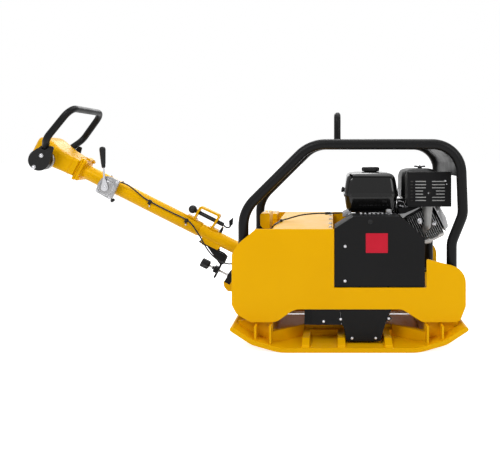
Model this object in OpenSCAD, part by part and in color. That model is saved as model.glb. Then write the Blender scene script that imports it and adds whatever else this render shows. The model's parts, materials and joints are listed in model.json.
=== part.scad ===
// Reversible vibratory plate compactor with a petrol engine, a protective frame and a folding drawbar.
// Millimetres. +X runs along the machine away from the drawbar, +Z is up, and the origin is the centre
// of the flat part of the sole.

/* [Base plate] */
// Length over both toes
plate_l = 892; // [880:2:930]
// Width of the working plate
plate_w = 670; // [650:5:760]
// Thickness of the working plate
plate_t = 18; // [14:1:22]
// Length of the flat part of the sole
sole_flat = 520; // [480:5:540]
// Height of the toes above the ground
toe_z = 85; // [75:1:95]

/* [Body] */
// Width over the side plates
body_w = 590; // [580:2:620]
// Length of the side plates
body_l = 892; // [880:2:920]
// Thickness of the side plates
side_t = 7; // [5:1:9]
// Height of the lower edge of the side plates
skirt_z = 102; // [98:1:108]
// Height of the top edge of the side plates
cover_z = 457; // [445:1:470]
// Thickness of folded sheet in covers and guards
sheet = 4; // [3:0.5:5]
// Thickness of the floor that stands on the rubber mounts
floor_t = 8; // [6:1:10]

/* [Protective frame] */
// Outside diameter of the frame tubes
rail_d = 40; // [34:1:44]
// Wall of the frame tubes
rail_wall = 3.5; // [2.5:0.5:5]
// Distance between the two frame tubes
rail_gauge = 500; // [470:5:515]
// Height over the frame tubes
frame_top = 800; // [780:2:830]
// Diameter of the bar of the lifting eye
eye_bar_d = 28; // [22:1:32]
// Height over the lifting eye
eye_top = 921; // [900:2:940]

/* [Drawbar] */
// Angle of the drawbar above level when it is down
bar_angle = 26.9; // [24:0.1:29]
// Distance from the pivot to the flange of the control head
bar_l = 835; // [800:5:860]
// Outside diameter of the upper tube
bar_upper_d = 62; // [58:1:66]
// Outside diameter of the lower tube
bar_lower_d = 56; // [50:1:57]
// Diameter of the pivot pin
pivot_pin_d = 25; // [20:1:30]
// Diameter of the tube of the direction handle
loop_d = 28; // [24:1:32]
// Wall of the direction handle's tube
loop_wall = 3; // [2:0.5:5]
// Distance between the legs of the direction handle
loop_w = 300; // [280:2:320]
// Distance from the handle's pivot to its grip bar
loop_h = 246; // [220:2:260]

/* [Engine] */
// Height of the crankshaft above the engine deck
crank_h = 132; // [128:1:136]
// Tilt of the cylinder above level
cyl_tilt = 25; // [22:1:28]
// Width of the fuel tank along the machine
tank_l = 220; // [205:1:225]
// Diameter of the fan cowl
cowl_d = 236; // [220:2:244]
// Diameter of the crankshaft
crank_d = 25; // [22:1:28]

/* [Drive] */
// Groove diameter of the clutch pulley
clutch_d = 84; // [76:2:90]
// Groove diameter of the exciter pulley
exciter_pulley_d = 112; // [104:2:116]
// Width of the drive belt
belt_w = 16; // [12:1:17]
// Distance between the two exciter shafts
shaft_gap = 84; // [84:1:90]
// Diameter of the exciter shafts
shaft_d = 40; // [34:1:44]
// Radial clearance of a shaft or pin in its hole
run_fit = 0.05; // [0.03:0.01:0.08]

/* [Hidden] */
$fn = 48;

yellow = [0.95, 0.72, 0.05];
black = [0.14, 0.14, 0.15];
steel = [0.72, 0.72, 0.74];
grey = [0.45, 0.46, 0.48];
rubber = [0.08, 0.08, 0.08];
gap = 0.3;                              // clearance between pieces of different bodies

// Heights and faces that several pieces share
side_in = body_w / 2 - side_t;          // inner face of a side plate
half_l = body_l / 2;
half_plate = plate_l / 2;
rib_top = plate_t + 22;                 // top of the low ribs on the base plate
foot_half = 175;                        // half length of the exciter's foot
mount_base = 118;                       // top of the end boxes, which carry the rubber mounts
floor_z = mount_base + 54;              // underside of the floor
floor_top = floor_z + floor_t;
deck_z = 221;                           // underside of the engine deck
deck_top = deck_z + 8;
arch_z = skirt_z + 49;                  // top of the arch in the side plates
guard_face = side_in + 2;               // outer face of the belt guard
guard_back = 166;                       // face of the guard's back plate, on the engine's boss
rail_y = rail_gauge / 2;
rail_r = rail_d / 2;
rail_z = frame_top - rail_r;            // centre line of the frame's top run
crank_x = 135;
crank_z = deck_top + crank_h;
belt_y = -264;                          // middle plane of the drive belt
shaft_x = 62;                           // driven exciter shaft
shaft_z = 100;
idle_x = shaft_x - shaft_gap;
pivot_x = 46 - half_l;
pivot_z = 294;
upper_r = bar_upper_d / 2;
lower_r = bar_lower_d / 2;
loop_y = loop_w / 2;

// ---- helpers ----
function unit(v) = v / norm(v);
function flat(lists) = [for (l = lists) for (p = l) p];

// Arc of n steps that rounds the corner p1 between p0 and p2; works on a plane or in space
function corner(p0, p1, p2, r, n) =
  let (d0 = unit(p1 - p0), d1 = unit(p2 - p1), turn = acos(max(-1, min(1, d0 * d1))))
  r <= 0 || turn < 0.5 ? [p1] :
  let (start = p1 - d0 * r * tan(turn / 2), centre = p1 + unit(d1 - d0) * r / cos(turn / 2))
  [for (k = [0 : n]) centre + (start - centre) * cos(turn * k / n) + d0 * r * sin(turn * k / n)];

// Closed outline with its corners rounded, one radius for each point
function rounded(pts, radii, n = 6) = flat([for (i = [0 : len(pts) - 1])
  corner(pts[(i + len(pts) - 1) % len(pts)], pts[i], pts[(i + 1) % len(pts)], is_list(radii) ? radii[i] : radii, n)]);

// Open route with its corners rounded
function bent(pts, radii, n = 6) = concat([pts[0]], flat([for (i = [1 : len(pts) - 2])
  corner(pts[i - 1], pts[i], pts[i + 1], is_list(radii) ? radii[i - 1] : radii, n)]), [pts[len(pts) - 1]]);

function block(x0, z0, x1, z1) = [[x0, z0], [x1, z0], [x1, z1], [x0, z1]];

// Smooth curve through points, Catmull-Rom, n steps for each stretch
function through(p, n) = concat(flat([for (i = [0 : len(p) - 2])
  let (a = p[max(i - 1, 0)], b = p[i], c = p[i + 1], d = p[min(i + 2, len(p) - 1)])
  [for (k = [0 : n - 1]) let (t = k / n)
    0.5 * (2 * b + (c - a) * t + (2 * a - 5 * b + 4 * c - d) * t * t + (3 * b - a - 3 * c + d) * t * t * t)]]),
  [p[len(p) - 1]]);

// Round bar or tube swept along a route in space; a bore makes it a tube
function tangents(p) = [for (i = [0 : len(p) - 1]) unit(p[min(i + 1, len(p) - 1)] - p[max(i - 1, 0)])];
function sides_of(t, u, i = 0) = i >= len(t) ? [] :
  let (v = unit(u - (u * t[i]) * t[i])) concat([v], sides_of(t, v, i + 1));
module swept(path, r, sides = 16, up = [0, 1, 0.02], bore = 0) {
  t = tangents(path);
  u = sides_of(t, up);
  n = len(path);
  m = n * sides;
  function ring(i, radius) = [for (k = [0 : sides - 1])
    path[i] + radius * (cos(360 * k / sides) * u[i] + sin(360 * k / sides) * cross(t[i], u[i]))];
  function wall(i, k, at) = let (a = at + i * sides, b = a + sides, j = (k + 1) % sides) [a + k, b + k, b + j, a + j];
  function turned(f) = [for (i = [len(f) - 1 : -1 : 0]) f[i]];
  outer = flat([for (i = [0 : n - 1]) ring(i, r)]);
  inner = bore > 0 ? flat([for (i = [0 : n - 1]) ring(i, bore)]) : [];
  outer_walls = flat([for (i = [0 : n - 2]) [for (k = [0 : sides - 1]) wall(i, k, 0)]]);
  inner_walls = bore > 0 ? flat([for (i = [0 : n - 2]) [for (k = [0 : sides - 1]) turned(wall(i, k, m))]]) : [];
  last = m - sides;
  solid_ends = [[for (k = [0 : sides - 1]) k], [for (k = [sides - 1 : -1 : 0]) last + k]];
  open_ends = flat([for (k = [0 : sides - 1]) let (j = (k + 1) % sides)
    [[k, j, m + j, m + k], [last + j, last + k, m + last + k, m + last + j]]]);
  polyhedron(points = concat(outer, inner), faces = concat(outer_walls, inner_walls, bore > 0 ? open_ends : solid_ends),
    convexity = 8);
}

// Outline in XZ made solid from y0 to y1
module prism_y(pts, y0, y1) { translate([0, y1, 0]) rotate([90, 0, 0]) linear_extrude(y1 - y0) polygon(pts); }
module cyl_y(x, z, r, y0, y1) { translate([x, y1, z]) rotate([90, 0, 0]) cylinder(r = r, h = y1 - y0); }
module box(x0, y0, z0, x1, y1, z1) { translate([x0, y0, z0]) cube([x1 - x0, y1 - y0, z1 - z0]); }
module both_y() { children(); mirror([0, 1, 0]) children(); }
module both_x() { children(); mirror([1, 0, 0]) children(); }
// The drawbar's own frame: x runs from the handle to the pivot, which is its origin
module on_bar() { translate([pivot_x, 0, pivot_z]) rotate([0, bar_angle, 0]) children(); }
function from_bar(p) = [pivot_x + p[0] * cos(bar_angle) + p[2] * sin(bar_angle), p[1],
  pivot_z - p[0] * sin(bar_angle) + p[2] * cos(bar_angle)];
// The cylinder's own frame: x runs along the bore from the crankshaft
module on_cylinder() { translate([crank_x, 0, crank_z]) rotate([0, -cyl_tilt, 0]) children(); }

// Outline moved inwards by d; the outline runs counter-clockwise
function inset(p, d) = [for (i = [0 : len(p) - 1])
  let (a = unit(p[i] - p[(i + len(p) - 1) % len(p)]), b = unit(p[(i + 1) % len(p)] - p[i]),
    n = [-a[1], a[0]], m = [-b[1], b[0]]) p[i] + (n + m) * d / (1 + n * m)];

// ---- base plate, its ribs and the rubber mounts ----
knee = [half_plate - 81, 30];            // bend between the flat sole and the toe
sole = [sole_flat / 2, 0];
toe = [half_plate + 3.5, toe_z];        // its tip is round, which takes the 3.5 off again
toe_top = toe + plate_t * [-0.56, 0.83];
knee_top = knee + plate_t * [-0.43, 0.92];
sole_top = sole + plate_t * [-0.14, 1];
base_profile = rounded([[-toe[0], toe[1]], [-knee[0], knee[1]], [-sole[0], sole[1]], sole, knee, toe,
  toe_top, knee_top, sole_top, [-sole_top[0], sole_top[1]], [-knee_top[0], knee_top[1]],
  [-toe_top[0], toe_top[1]]], [8.8, 80, 200, 200, 80, 8.8, 8.8, 80, 200, 200, 80, 8.8], 4);
end_out = half_plate - 90;              // outer face of an end box
end_in = end_out - 64;                  // inner face of an end box
end_wall = 8;
end_y = side_in - 4;
mount_x = (end_in + end_out) / 2;
mount_y = 200;
mount_r = 30;
hole_x = half_plate - 41;               // holes for the extension plates, in the toes
hole_y = plate_w / 2 - 95;
hole_r = 7;

module base_plate() color(yellow) difference() {
  prism_y(base_profile, -plate_w / 2, plate_w / 2);
  for (x = [-hole_x, hole_x], y = [-hole_y, hole_y]) translate([x, y, 0]) cylinder(r = hole_r, h = 200);
}

module base_ribs() color(yellow) {
  // Seat of the exciter
  box(-foot_half, -190, plate_t, foot_half, 190, rib_top);
  // Low bars that run out to the edges of the plate
  for (x = [-163, -28, 150]) both_y() translate([x - 14, 0, 0]) rotate([90, 0, 90])
    linear_extrude(28) polygon([[190, plate_t], [plate_w / 2 - 5, plate_t], [plate_w / 2 - 12, plate_t + 8],
      [plate_w / 2 - 50, rib_top], [190, rib_top]]);
  both_x() difference() {
    union() {
      for (x = [end_in, end_out - end_wall]) {
        box(x, -end_y, 10, x + end_wall, end_y, mount_base - 8);
        box(x, -plate_w / 2 + 9, 10, x + end_wall, plate_w / 2 - 9, skirt_z - 6);
      }
      box(end_in, -end_y, mount_base - 8, end_out, end_y, mount_base);
      both_y() {
        box(end_in + end_wall, end_y - 24, 10, end_out - end_wall, end_y - 14, mount_base - 8);
        prism_y([[end_out, 20], [end_out + 68, 60], [end_out + 68, 102], [end_out, mount_base - 12]],
          end_y - 24, end_y - 14);
        // Diagonal brace from the end box to the exciter's seat
        linear_extrude(62) polygon([[end_in, end_y], [end_in, end_y - 28], [foot_half, 168], [foot_half, 190],
          [foot_half + 8, 196]]);
      }
    }
    // Nothing of the boxes reaches into the plate or below it
    prism_y(base_profile, -plate_w, plate_w);
    prism_y([[0, -99], [999, -99], [999, toe_top[1] - 6], [toe_top[0] - 6, toe_top[1] - 6],
      knee_top - [0, 4], sole_top - [0, 4], [0, plate_t - 4]], -plate_w, plate_w);
  }
}

module rubber_mounts() color(rubber) for (x = [-mount_x, mount_x], y = [-mount_y, mount_y])
  translate([x, y, mount_base]) rotate_extrude()
    polygon([[0, 0], [mount_r, 0], [mount_r, 8], [mount_r - 5, 16], [mount_r - 5, 38], [mount_r, 46],
      [mount_r, floor_z - mount_base], [0, floor_z - mount_base]]);

// ---- exciter ----
bearing_r = 38;
cavity_r = 39.9 + 6.1;
exciter_r = cavity_r + 10;
exciter_y = 170;                        // half length of the housing
wall_y = 150;                           // inner face of the housing's end walls

module exciter_housing() color(yellow) difference() {
  union() {
    box(-foot_half, -exciter_y, rib_top, foot_half, exciter_y, rib_top + 16);
    prism_y(rounded([[idle_x - exciter_r, rib_top + 16], [shaft_x + exciter_r, rib_top + 16],
      [shaft_x + exciter_r, shaft_z + exciter_r], [idle_x - exciter_r, shaft_z + exciter_r]], [0, 0, 40, 40]),
      -exciter_y, exciter_y);
  }
  for (x = [idle_x, shaft_x]) {
    cyl_y(x, shaft_z, cavity_r, -wall_y, wall_y);
    cyl_y(x, shaft_z, bearing_r + run_fit, -exciter_y - 1, exciter_y + 1);
  }
  box(idle_x, -wall_y, shaft_z - cavity_r, shaft_x, wall_y, shaft_z + cavity_r);
}

module exciter_plates() color(steel) {
  // End covers over the bearings
  for (side = [-1, 1]) difference() {
    prism_y(rounded(block(idle_x - 50, shaft_z - 44, shaft_x + 50, shaft_z + 50), 18),
      side > 0 ? exciter_y : -exciter_y - 8, side > 0 ? exciter_y + 8 : -exciter_y);
    if (side < 0) cyl_y(shaft_x, shaft_z, shaft_d / 2 + 2, -exciter_y - 9, -exciter_y + 1);
  }
  // Flat braces to the end boxes
  both_y() {
    box(-end_in, exciter_y - 26, shaft_z - 6, idle_x - exciter_r, exciter_y, shaft_z);
    box(shaft_x + exciter_r, exciter_y - 26, shaft_z - 6, end_in, exciter_y, shaft_z);
  }
}

module exciter_bearings() color(steel) for (x = [idle_x, shaft_x], side = [-1, 1]) difference() {
  cyl_y(x, shaft_z, bearing_r, side > 0 ? wall_y + 1 : -exciter_y, side > 0 ? exciter_y : -wall_y - 1);
  cyl_y(x, shaft_z, shaft_d / 2 + run_fit, -exciter_y - 1, exciter_y + 1);
}

// Spur gear outline; the teeth leave a running clearance in mesh
teeth = 24;
tooth = shaft_gap / teeth;
function gear(phase) = flat([for (i = [0 : teeth - 1]) let (a = phase + 360 * i / teeth)
  [for (p = [[-1.2, -5], [0, -3], [0.85, -1.4], [0.85, 1.4], [0, 3], [-1.2, 5]])
    (shaft_gap / 2 + p[0] * tooth) * [cos(a + p[1]), sin(a + p[1])]]]);

module exciter_shaft(x, y0, phase) {
  cyl_y(x, shaft_z, shaft_d / 2, y0, exciter_y - 2);
  translate([x, 125, shaft_z]) rotate([90, 0, 0]) linear_extrude(25) difference() {
    polygon(gear(phase));
    circle(r = shaft_d / 2 - 0.5);
  }
  // Eccentric weight
  intersection() {
    cyl_y(x, shaft_z, shaft_gap / 2 - 2, -95, 80);
    box(x - 60, -100, shaft_z - 60, x + 60, 100, shaft_z - 6);
  }
}

module pulley(x, z, groove_r, bore) difference() {
  cyl_y(x, z, groove_r + 8, belt_y - belt_w / 2 - 5.5, belt_y + belt_w / 2 + 5.5);
  difference() {
    cyl_y(x, z, groove_r + 9, belt_y - belt_w / 2 - gap, belt_y + belt_w / 2 + gap);
    cyl_y(x, z, groove_r, belt_y - belt_w, belt_y + belt_w);
  }
  difference() {
    cyl_y(x, z, groove_r - 8, belt_y - belt_w, belt_y - 5);
    cyl_y(x, z, bore + 12, belt_y - belt_w - 1, belt_y);
  }
}

module driven_shaft() color(grey) {
  exciter_shaft(shaft_x, -282, 0);
  pulley(shaft_x, shaft_z, exciter_pulley_d / 2, shaft_d / 2);
}
module idle_shaft() color(grey) exciter_shaft(idle_x, -exciter_y + 2, 180 / teeth);

// Loop of the belt at distance d outside the grooves
function belt_loop(d) =
  let (span = [crank_x - shaft_x, crank_z - shaft_z], ra = clutch_d / 2 + d, rb = exciter_pulley_d / 2 + d,
    dir = atan2(span[1], span[0]), open = acos((rb - ra) / norm(span)))
  concat([for (k = [0 : 16]) let (a = dir - open + 2 * open * k / 16) [crank_x + ra * cos(a), crank_z + ra * sin(a)]],
    [for (k = [0 : 24]) let (a = dir + open + (360 - 2 * open) * k / 24)
      [shaft_x + rb * cos(a), shaft_z + rb * sin(a)]]);
module drive_belt() color(rubber) difference() {
  prism_y(belt_loop(7.5), belt_y - belt_w / 2, belt_y + belt_w / 2);
  prism_y(belt_loop(0.7), belt_y - belt_w, belt_y + belt_w);
}

// ---- lower frame and side plates ----
ear_in = 38;
ear_t = 12;
stop_x = -66.7;                         // face of the stop, in the drawbar's frame
stop_len = 27;
rear_wall = -half_l;
slot_y = -235;                          // inner edge of the slots that the belt passes
belt_slot = [20, 182];

module lower_frame() color(yellow) {
  difference() {
    union() {
      box(rear_wall + 3, -side_in, floor_z, half_l - 4, side_in, floor_top);
      box(rear_wall, -side_in, 166, rear_wall + 6, side_in, 240);
      box(half_l - 8, -side_in, 166, half_l - 2, side_in, 214);
      box(-60, -side_in, deck_z, 302, side_in, deck_top);
      box(-60, -side_in, floor_top, -54, side_in, deck_z);
      box(296, -side_in, floor_top, 302, side_in, deck_z);
      // Ears of the drawbar's pivot
      both_y() difference() {
        prism_y(rounded([[pivot_x - 40, floor_top], [pivot_x + 44, floor_top], [pivot_x + 30, pivot_z + 30],
          [pivot_x - 30, pivot_z + 30]], [0, 0, 29, 29]), ear_in, ear_in + ear_t);
        cyl_y(pivot_x, pivot_z, pivot_pin_d / 2 + run_fit, 0, 100);
      }
      // Arm that holds the drawbar's stop
      difference() {
        prism_y(rounded([[rear_wall, 150], [rear_wall, 236], [rear_wall - 28, 240], [rear_wall - 85, 192],
          [rear_wall - 82, 171], [rear_wall - 66, 150]],
          [0, 0, 0, 2, 8, 16]), -25, 25);
        on_bar() box(stop_x - 60, -60, -150, stop_x + stop_len, 60, 0);
      }
    }
    // Belt slots in the floor and in the engine deck
    box(-46, -side_in - 1, floor_z - 1, 176, slot_y, floor_top + 1);
    box(belt_slot[0], -side_in - 1, deck_z - 1, belt_slot[1], slot_y, deck_top + 1);
  }
}

side_lower = [[half_l, 162], [half_l - 24, skirt_z], [280, skirt_z], [204, arch_z], [-208, arch_z], [-276, skirt_z],
  [70 - half_l, skirt_z], [18 - half_l, skirt_z + 32], [-half_l, skirt_z + 66], [-half_l, cover_z - 95],
  [28 - half_l, cover_z - 53], [92 - half_l, cover_z]];
side_lower_r = [24, 24, 40, 40, 60, 60, 30, 30, 24, 30, 40, 8];
side_right = [[half_l, 304]];
module side_plate(cut_x0, cut_x1, cut_z) prism_y(rounded(concat(side_lower,
  [[cut_x0, cover_z], [cut_x0, cut_z], [cut_x1, cut_z], [cut_x1, 343]], side_right),
  concat(side_lower_r, [2, 3, 3, 6, 68])), side_in, body_w / 2);
module side_plate_near() color(yellow) mirror([0, 1, 0]) side_plate(-56, 296, deck_top + 4);
module side_plate_far() color(yellow) side_plate(20, 300, 262);

beam_x = [-346, -306];
module top_cover() color(yellow) {
  box(-290, -side_in, cover_z - sheet, -60, side_in, cover_z);
  box(-290, -side_in, cover_z - 36, -290 + sheet, side_in, cover_z - sheet);
}
module deck_beam() color(yellow) {
  box(beam_x[0], -side_in, 382, beam_x[1], side_in, 422);
  both_y() box(beam_x[0] + 8, 95, 422, beam_x[1] - 6, 200, 446);
  beam_block(-205, cover_z + 49);
  beam_block(90, cover_z + 14);
}
module beam_block(y, top) prism_y(rounded([[beam_x[0] - 3, 446], [beam_x[1] - 5, 446], [beam_x[1] - 5, top],
  [beam_x[0] - 3, top]], [min(20, (top - 446) * 0.6), 3, 4, 8]), y, y + 115);

// ---- protective frame ----
rail_back = 38 - half_l;                // centre line of the rear leg
rail_front = half_l - 8;                // centre line of the front leg's upper part
rail_corners = [[rail_back, floor_top], [rail_back, 521], [rail_back + 260, rail_z], [rail_front - 3, rail_z],
  [rail_front + 7, 508], [rail_front - 37, 399], [rail_front - 37, floor_top]];
function rail_path(y) = bent([for (p = rail_corners) [p[0], y, p[1]]], [140, 140, 112, 90, 90], 5);
module frame_rail_near() color(black) swept(rail_path(-rail_y), rail_r, bore = rail_r - rail_wall);
module frame_rail_far() color(black) swept(rail_path(rail_y), rail_r, bore = rail_r - rail_wall);

module front_cross_plate() color(black) difference() {
  line = [[rail_front - 56, rail_z - 13], [rail_front - 14, rail_z - 55], [rail_front - 4, rail_z - 76],
    [rail_front - 4, rail_z - 127]];
  prism_y(rounded(concat(line, [for (i = [3 : -1 : 0]) line[i] + (i < 2 ? [4, 4] : [5, 1])]),
    [0, 20, 20, 0, 0, 20, 20, 0], 3), -rail_y + rail_r, rail_y - rail_r);
  // Slots for lashing straps in the sloping part
  both_y() box(rail_front - 50, 145, rail_z - 80, rail_front - 20, 155, rail_z + 10);
}

eye_x = -41;
eye_half = 50;
module lifting_eye() color(black) {
  difference() {
    box(eye_x - 24, -rail_y, rail_z - 15, eye_x + 24, rail_y, rail_z + 15);
    both_y() translate([eye_x - 40, rail_y, rail_z]) rotate([0, 90, 0]) cylinder(r = rail_r + 0.05, h = 80);
  }
  swept(bent([[eye_x, -eye_half, rail_z + 15], [eye_x, -eye_half, eye_top - eye_bar_d / 2],
    [eye_x, eye_half, eye_top - eye_bar_d / 2], [eye_x, eye_half, rail_z + 15]], 34, 5), eye_bar_d / 2, 16, [1, 0, 0]);
}

// ---- guards ----
guard_outline = [[-54, deck_top + 6], [291, deck_top + 6], [290, 417], [256, 455], [194, 504], [17, 503], [-54, 458]];
guard_round = rounded(guard_outline, [3, 3, 8, 10, 8, 8, 6], 3);
module belt_guard() color(black) difference() {
  prism_y(guard_round, -guard_face, -guard_back);
  prism_y(inset(guard_outline, sheet), -guard_face + sheet, -guard_back + 1);
  // The belt passes through the bottom
  box(belt_slot[0], -guard_face + sheet, deck_top, belt_slot[1], -guard_back + 1, deck_top + 12);
}
module belt_guard_back() color(black) difference() {
  prism_y([for (p = guard_outline) [p[0], p[1] < 300 ? deck_top : p[1]]], -guard_back, -guard_back + sheet);
  cyl_y(crank_x, crank_z, 56, -guard_back - 1, -guard_back + sheet + 1);
}

low_guard = [[-8, 28], [122, 28], [130, 62], [142, 100], [164, arch_z], [168, 206], [-38, 206], [-33, arch_z],
  [-29, 98], [-17, 76], [-11, 42]];
low_screws = [[-31, 112], [153, 114], [13, 39], [103, 39]];
module lower_belt_guard() color(black) difference() {
  union() {
    prism_y(rounded(low_guard, [6, 8, 20, 20, 20, 4, 4, 20, 10, 10, 6], 3), -side_in, -245);
    for (i = [0, 1]) cyl_y(low_screws[i][0], low_screws[i][1], 9, -side_in, -side_in + sheet);
  }
  prism_y(inset(low_guard, sheet), -side_in + sheet, -244);
  // The belt passes through the top
  box(belt_slot[0], -side_in + sheet, 195, 158, -244, 207);
}

// Its right edge follows the belt guard's left edge
side_guard = [[-169, 90], [-29.5, 90], [-29.5, 98], [-33.5, arch_z], [-35.4, floor_z], [-169, floor_z]];
module exciter_side_guard() color(black) difference() {
  prism_y(side_guard, -side_in, -240);
  prism_y(inset(side_guard, sheet), -side_in + sheet, -239);
  cyl_y(low_screws[0][0], low_screws[0][1], 9 + gap, -side_in - 1, -side_in + sheet);
}

screw_places = concat([for (z = [258, 390]) [-14, z, guard_face]], [for (s = low_screws) [s[0], s[1], side_in]],
  [[-96, 103, side_in]]);
module guard_screws() color(steel) for (s = screw_places) translate([s[0], -s[2], s[1]]) rotate([90, 0, 0])
  rotate_extrude() polygon([[0, 0], [6.5, 0], [6, 2.4], [3, 4], [0, 4]]);

// ---- pivot pin and stop of the drawbar ----
module drawbar_pin() color(steel) {
  cyl_y(pivot_x, pivot_z, pivot_pin_d / 2, -ear_in - ear_t, ear_in + ear_t);
  both_y() cyl_y(pivot_x, pivot_z, pivot_pin_d / 2 + 7, ear_in + ear_t, ear_in + ear_t + 6);
}
module stop_block() color(black) on_bar() box(stop_x, -24, -150, stop_x + stop_len, 24, -102);

// ---- engine ----
engine_y = -150;                        // face of the engine that the crankshaft leaves
cowl_y = [88, 150];
fin_x = [150, 272];                     // ends of the finned block along the cylinder
fin_half = 60;
fin_y = [-110, 30];
tank_x = crank_x - 148;
tank_mid = tank_x + tank_l / 2;
tank_y = [-150, 108];
tank_z = [500, 665];
cap_x = 102;
cap_y = -20;
pipe_x = 329;                           // exhaust pipe
pipe_y = -132;
pipe_r = 19;
pipe_low = 441;                         // height of its end at the cylinder
muffler_y = -160;

module crankcase() color(grey) difference() {
  union() {
    prism_y(rounded([[44, deck_top + 12], [232, deck_top + 12], [236, 300], [206, 430], [200, 478], [60, 478],
      [44, 420]], [0, 0, 30, 0, 10, 20, 40]), engine_y, cowl_y[0]);
    box(28, engine_y + 8, deck_top, 250, cowl_y[0] - 8, deck_top + 12);
    cyl_y(crank_x, crank_z, 58, engine_y - 12, engine_y);
  }
  cyl_y(crank_x, crank_z, crank_d / 2 + run_fit, engine_y - 13, engine_y + 45);
}

module engine_cylinder() color(grey) difference() {
  on_cylinder() {
    box(70, fin_y[0] + 14, -46, fin_x[1], fin_y[1] - 14, 46);
    for (x = [fin_x[0] : 8.6 : fin_x[1] - 4]) box(x, fin_y[0], -fin_half, x + 3.4, fin_y[1], fin_half);
    box(fin_x[1] - 8, fin_y[0], -fin_half, fin_x[1], fin_y[1], fin_half);
    box(172, fin_y[0] + 4, -fin_half - 13, fin_x[1], fin_y[1] - 4, -fin_half + 0.5);
  }
  prism_y([[0, 0], [232, 0], [232, deck_top + 12], [236, 300], [206, 430], [200, 478], [0, 478]], -200, 200);
}

module valve_cover() color(grey) on_cylinder() prism_y(rounded([[fin_x[1], -56], [fin_x[1] + 19, -52],
  [fin_x[1] + 27, -8], [fin_x[1] + 22, 40], [fin_x[1], 49]], [2, 16, 30, 16, 2]), fin_y[0] + 8, fin_y[1] - 10);

module spark_plug() color(steel) on_cylinder() {
  cyl_y(236, 8, 8, fin_y[1], fin_y[1] + 28);
  cyl_y(236, 8, 12, fin_y[1] + 28, fin_y[1] + 60);
}

muffler_box = [247, 535, 412, 663];
module muffler() color(black) {
  intersection() {
    prism_y(rounded(block(muffler_box[0], muffler_box[1], muffler_box[2], muffler_box[3]), 16, 4), muffler_y, -48);
    translate([0, 0, 500]) linear_extrude(200) polygon(rounded([[muffler_box[0], muffler_y],
      [muffler_box[2], muffler_y], [muffler_box[2], -48], [muffler_box[0], -48]], 14, 4));
  }
  swept(bent([[pipe_x, pipe_y, muffler_box[1]], [pipe_x, pipe_y, pipe_low],
    [pipe_x, fin_y[0], pipe_low]], 14, 5), pipe_r, 16,
    [1, 0, 0]);
}

shield_x = [240, 418];
shield_z = [529, 669];
module muffler_shield() color(black) difference() {
  box(shield_x[0], muffler_y - 8, shield_z[0], shield_x[1], muffler_y + 34, shield_z[1]);
  difference() {
    box(shield_x[0] + 2, muffler_y - 6, shield_z[0] + 2, shield_x[1] - 2, muffler_y + 35, shield_z[1] - 2);
    // Spacers between the shield and the muffler
    for (x = [muffler_box[0] + 30, muffler_box[2] - 40]) cyl_y(x, 600, 5, muffler_y - 8, muffler_y);
  }
  for (i = [0 : 6]) {
    inner = i == 2 || i == 3 ? 12 : 0;
    for (s = [[273, 316 - inner], [340 + 1.3 * inner, 392], [253, 265]])
      box(s[0], muffler_y - 9, 551.5 + 12.8 * i, s[1], muffler_y - 5, 556 + 12.8 * i);
  }
  box(322, muffler_y - 9, 577, 334, muffler_y - 5, 589);
  // Notch for the exhaust pipe
  translate([pipe_x, pipe_y, shield_z[0] - 1]) cylinder(r = pipe_r + 2, h = 9);
}

filter_x = [237, 400];
filter_y = [-18, 150];
filter_z = [540, 677];
nut_x = 328;
nut_y = 66;
module air_cleaner() color(black) {
  intersection() {
    prism_y(rounded(block(filter_x[0], filter_z[0], filter_x[1], filter_z[1]), [10, 10, 22, 22], 4),
      filter_y[0], filter_y[1]);
    translate([0, 0, 500]) linear_extrude(200) polygon(rounded([[filter_x[0], filter_y[0]],
      [filter_x[1], filter_y[0]], [filter_x[1], filter_y[1]], [filter_x[0], filter_y[1]]], 20, 4));
  }
  translate([nut_x, nut_y, filter_z[1]]) cylinder(r = 3, h = 16);
}
module air_filter_nut() color(black) translate([nut_x, nut_y, filter_z[1] + gap]) difference() {
  union() {
    cylinder(r = 9, h = 10);
    for (side = [0, 180]) rotate([0, 0, side]) translate([6, -4, 5]) cube([19, 8, 7]);
  }
  translate([0, 0, -1]) cylinder(r = 3 + run_fit, h = 18);
}

carb_z = [486, filter_z[0]];
module carburettor() color(grey) {
  box(262, 44, carb_z[0], 312, 96, carb_z[1]);
  cyl_y(285, 470, 16, fin_y[1], 44);
  cyl_y(285, 474, 20, 44, 92);
}
choke_x = 285;
choke_z = 512;
module choke_lever() color(black) {
  cyl_y(choke_x, choke_z, 8, 96 + gap, 102);
  box(choke_x - 5, 98, choke_z - 42, choke_x + 5, 102, choke_z);
  cyl_y(choke_x, choke_z - 44, 8, 98, 106);
}

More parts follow.
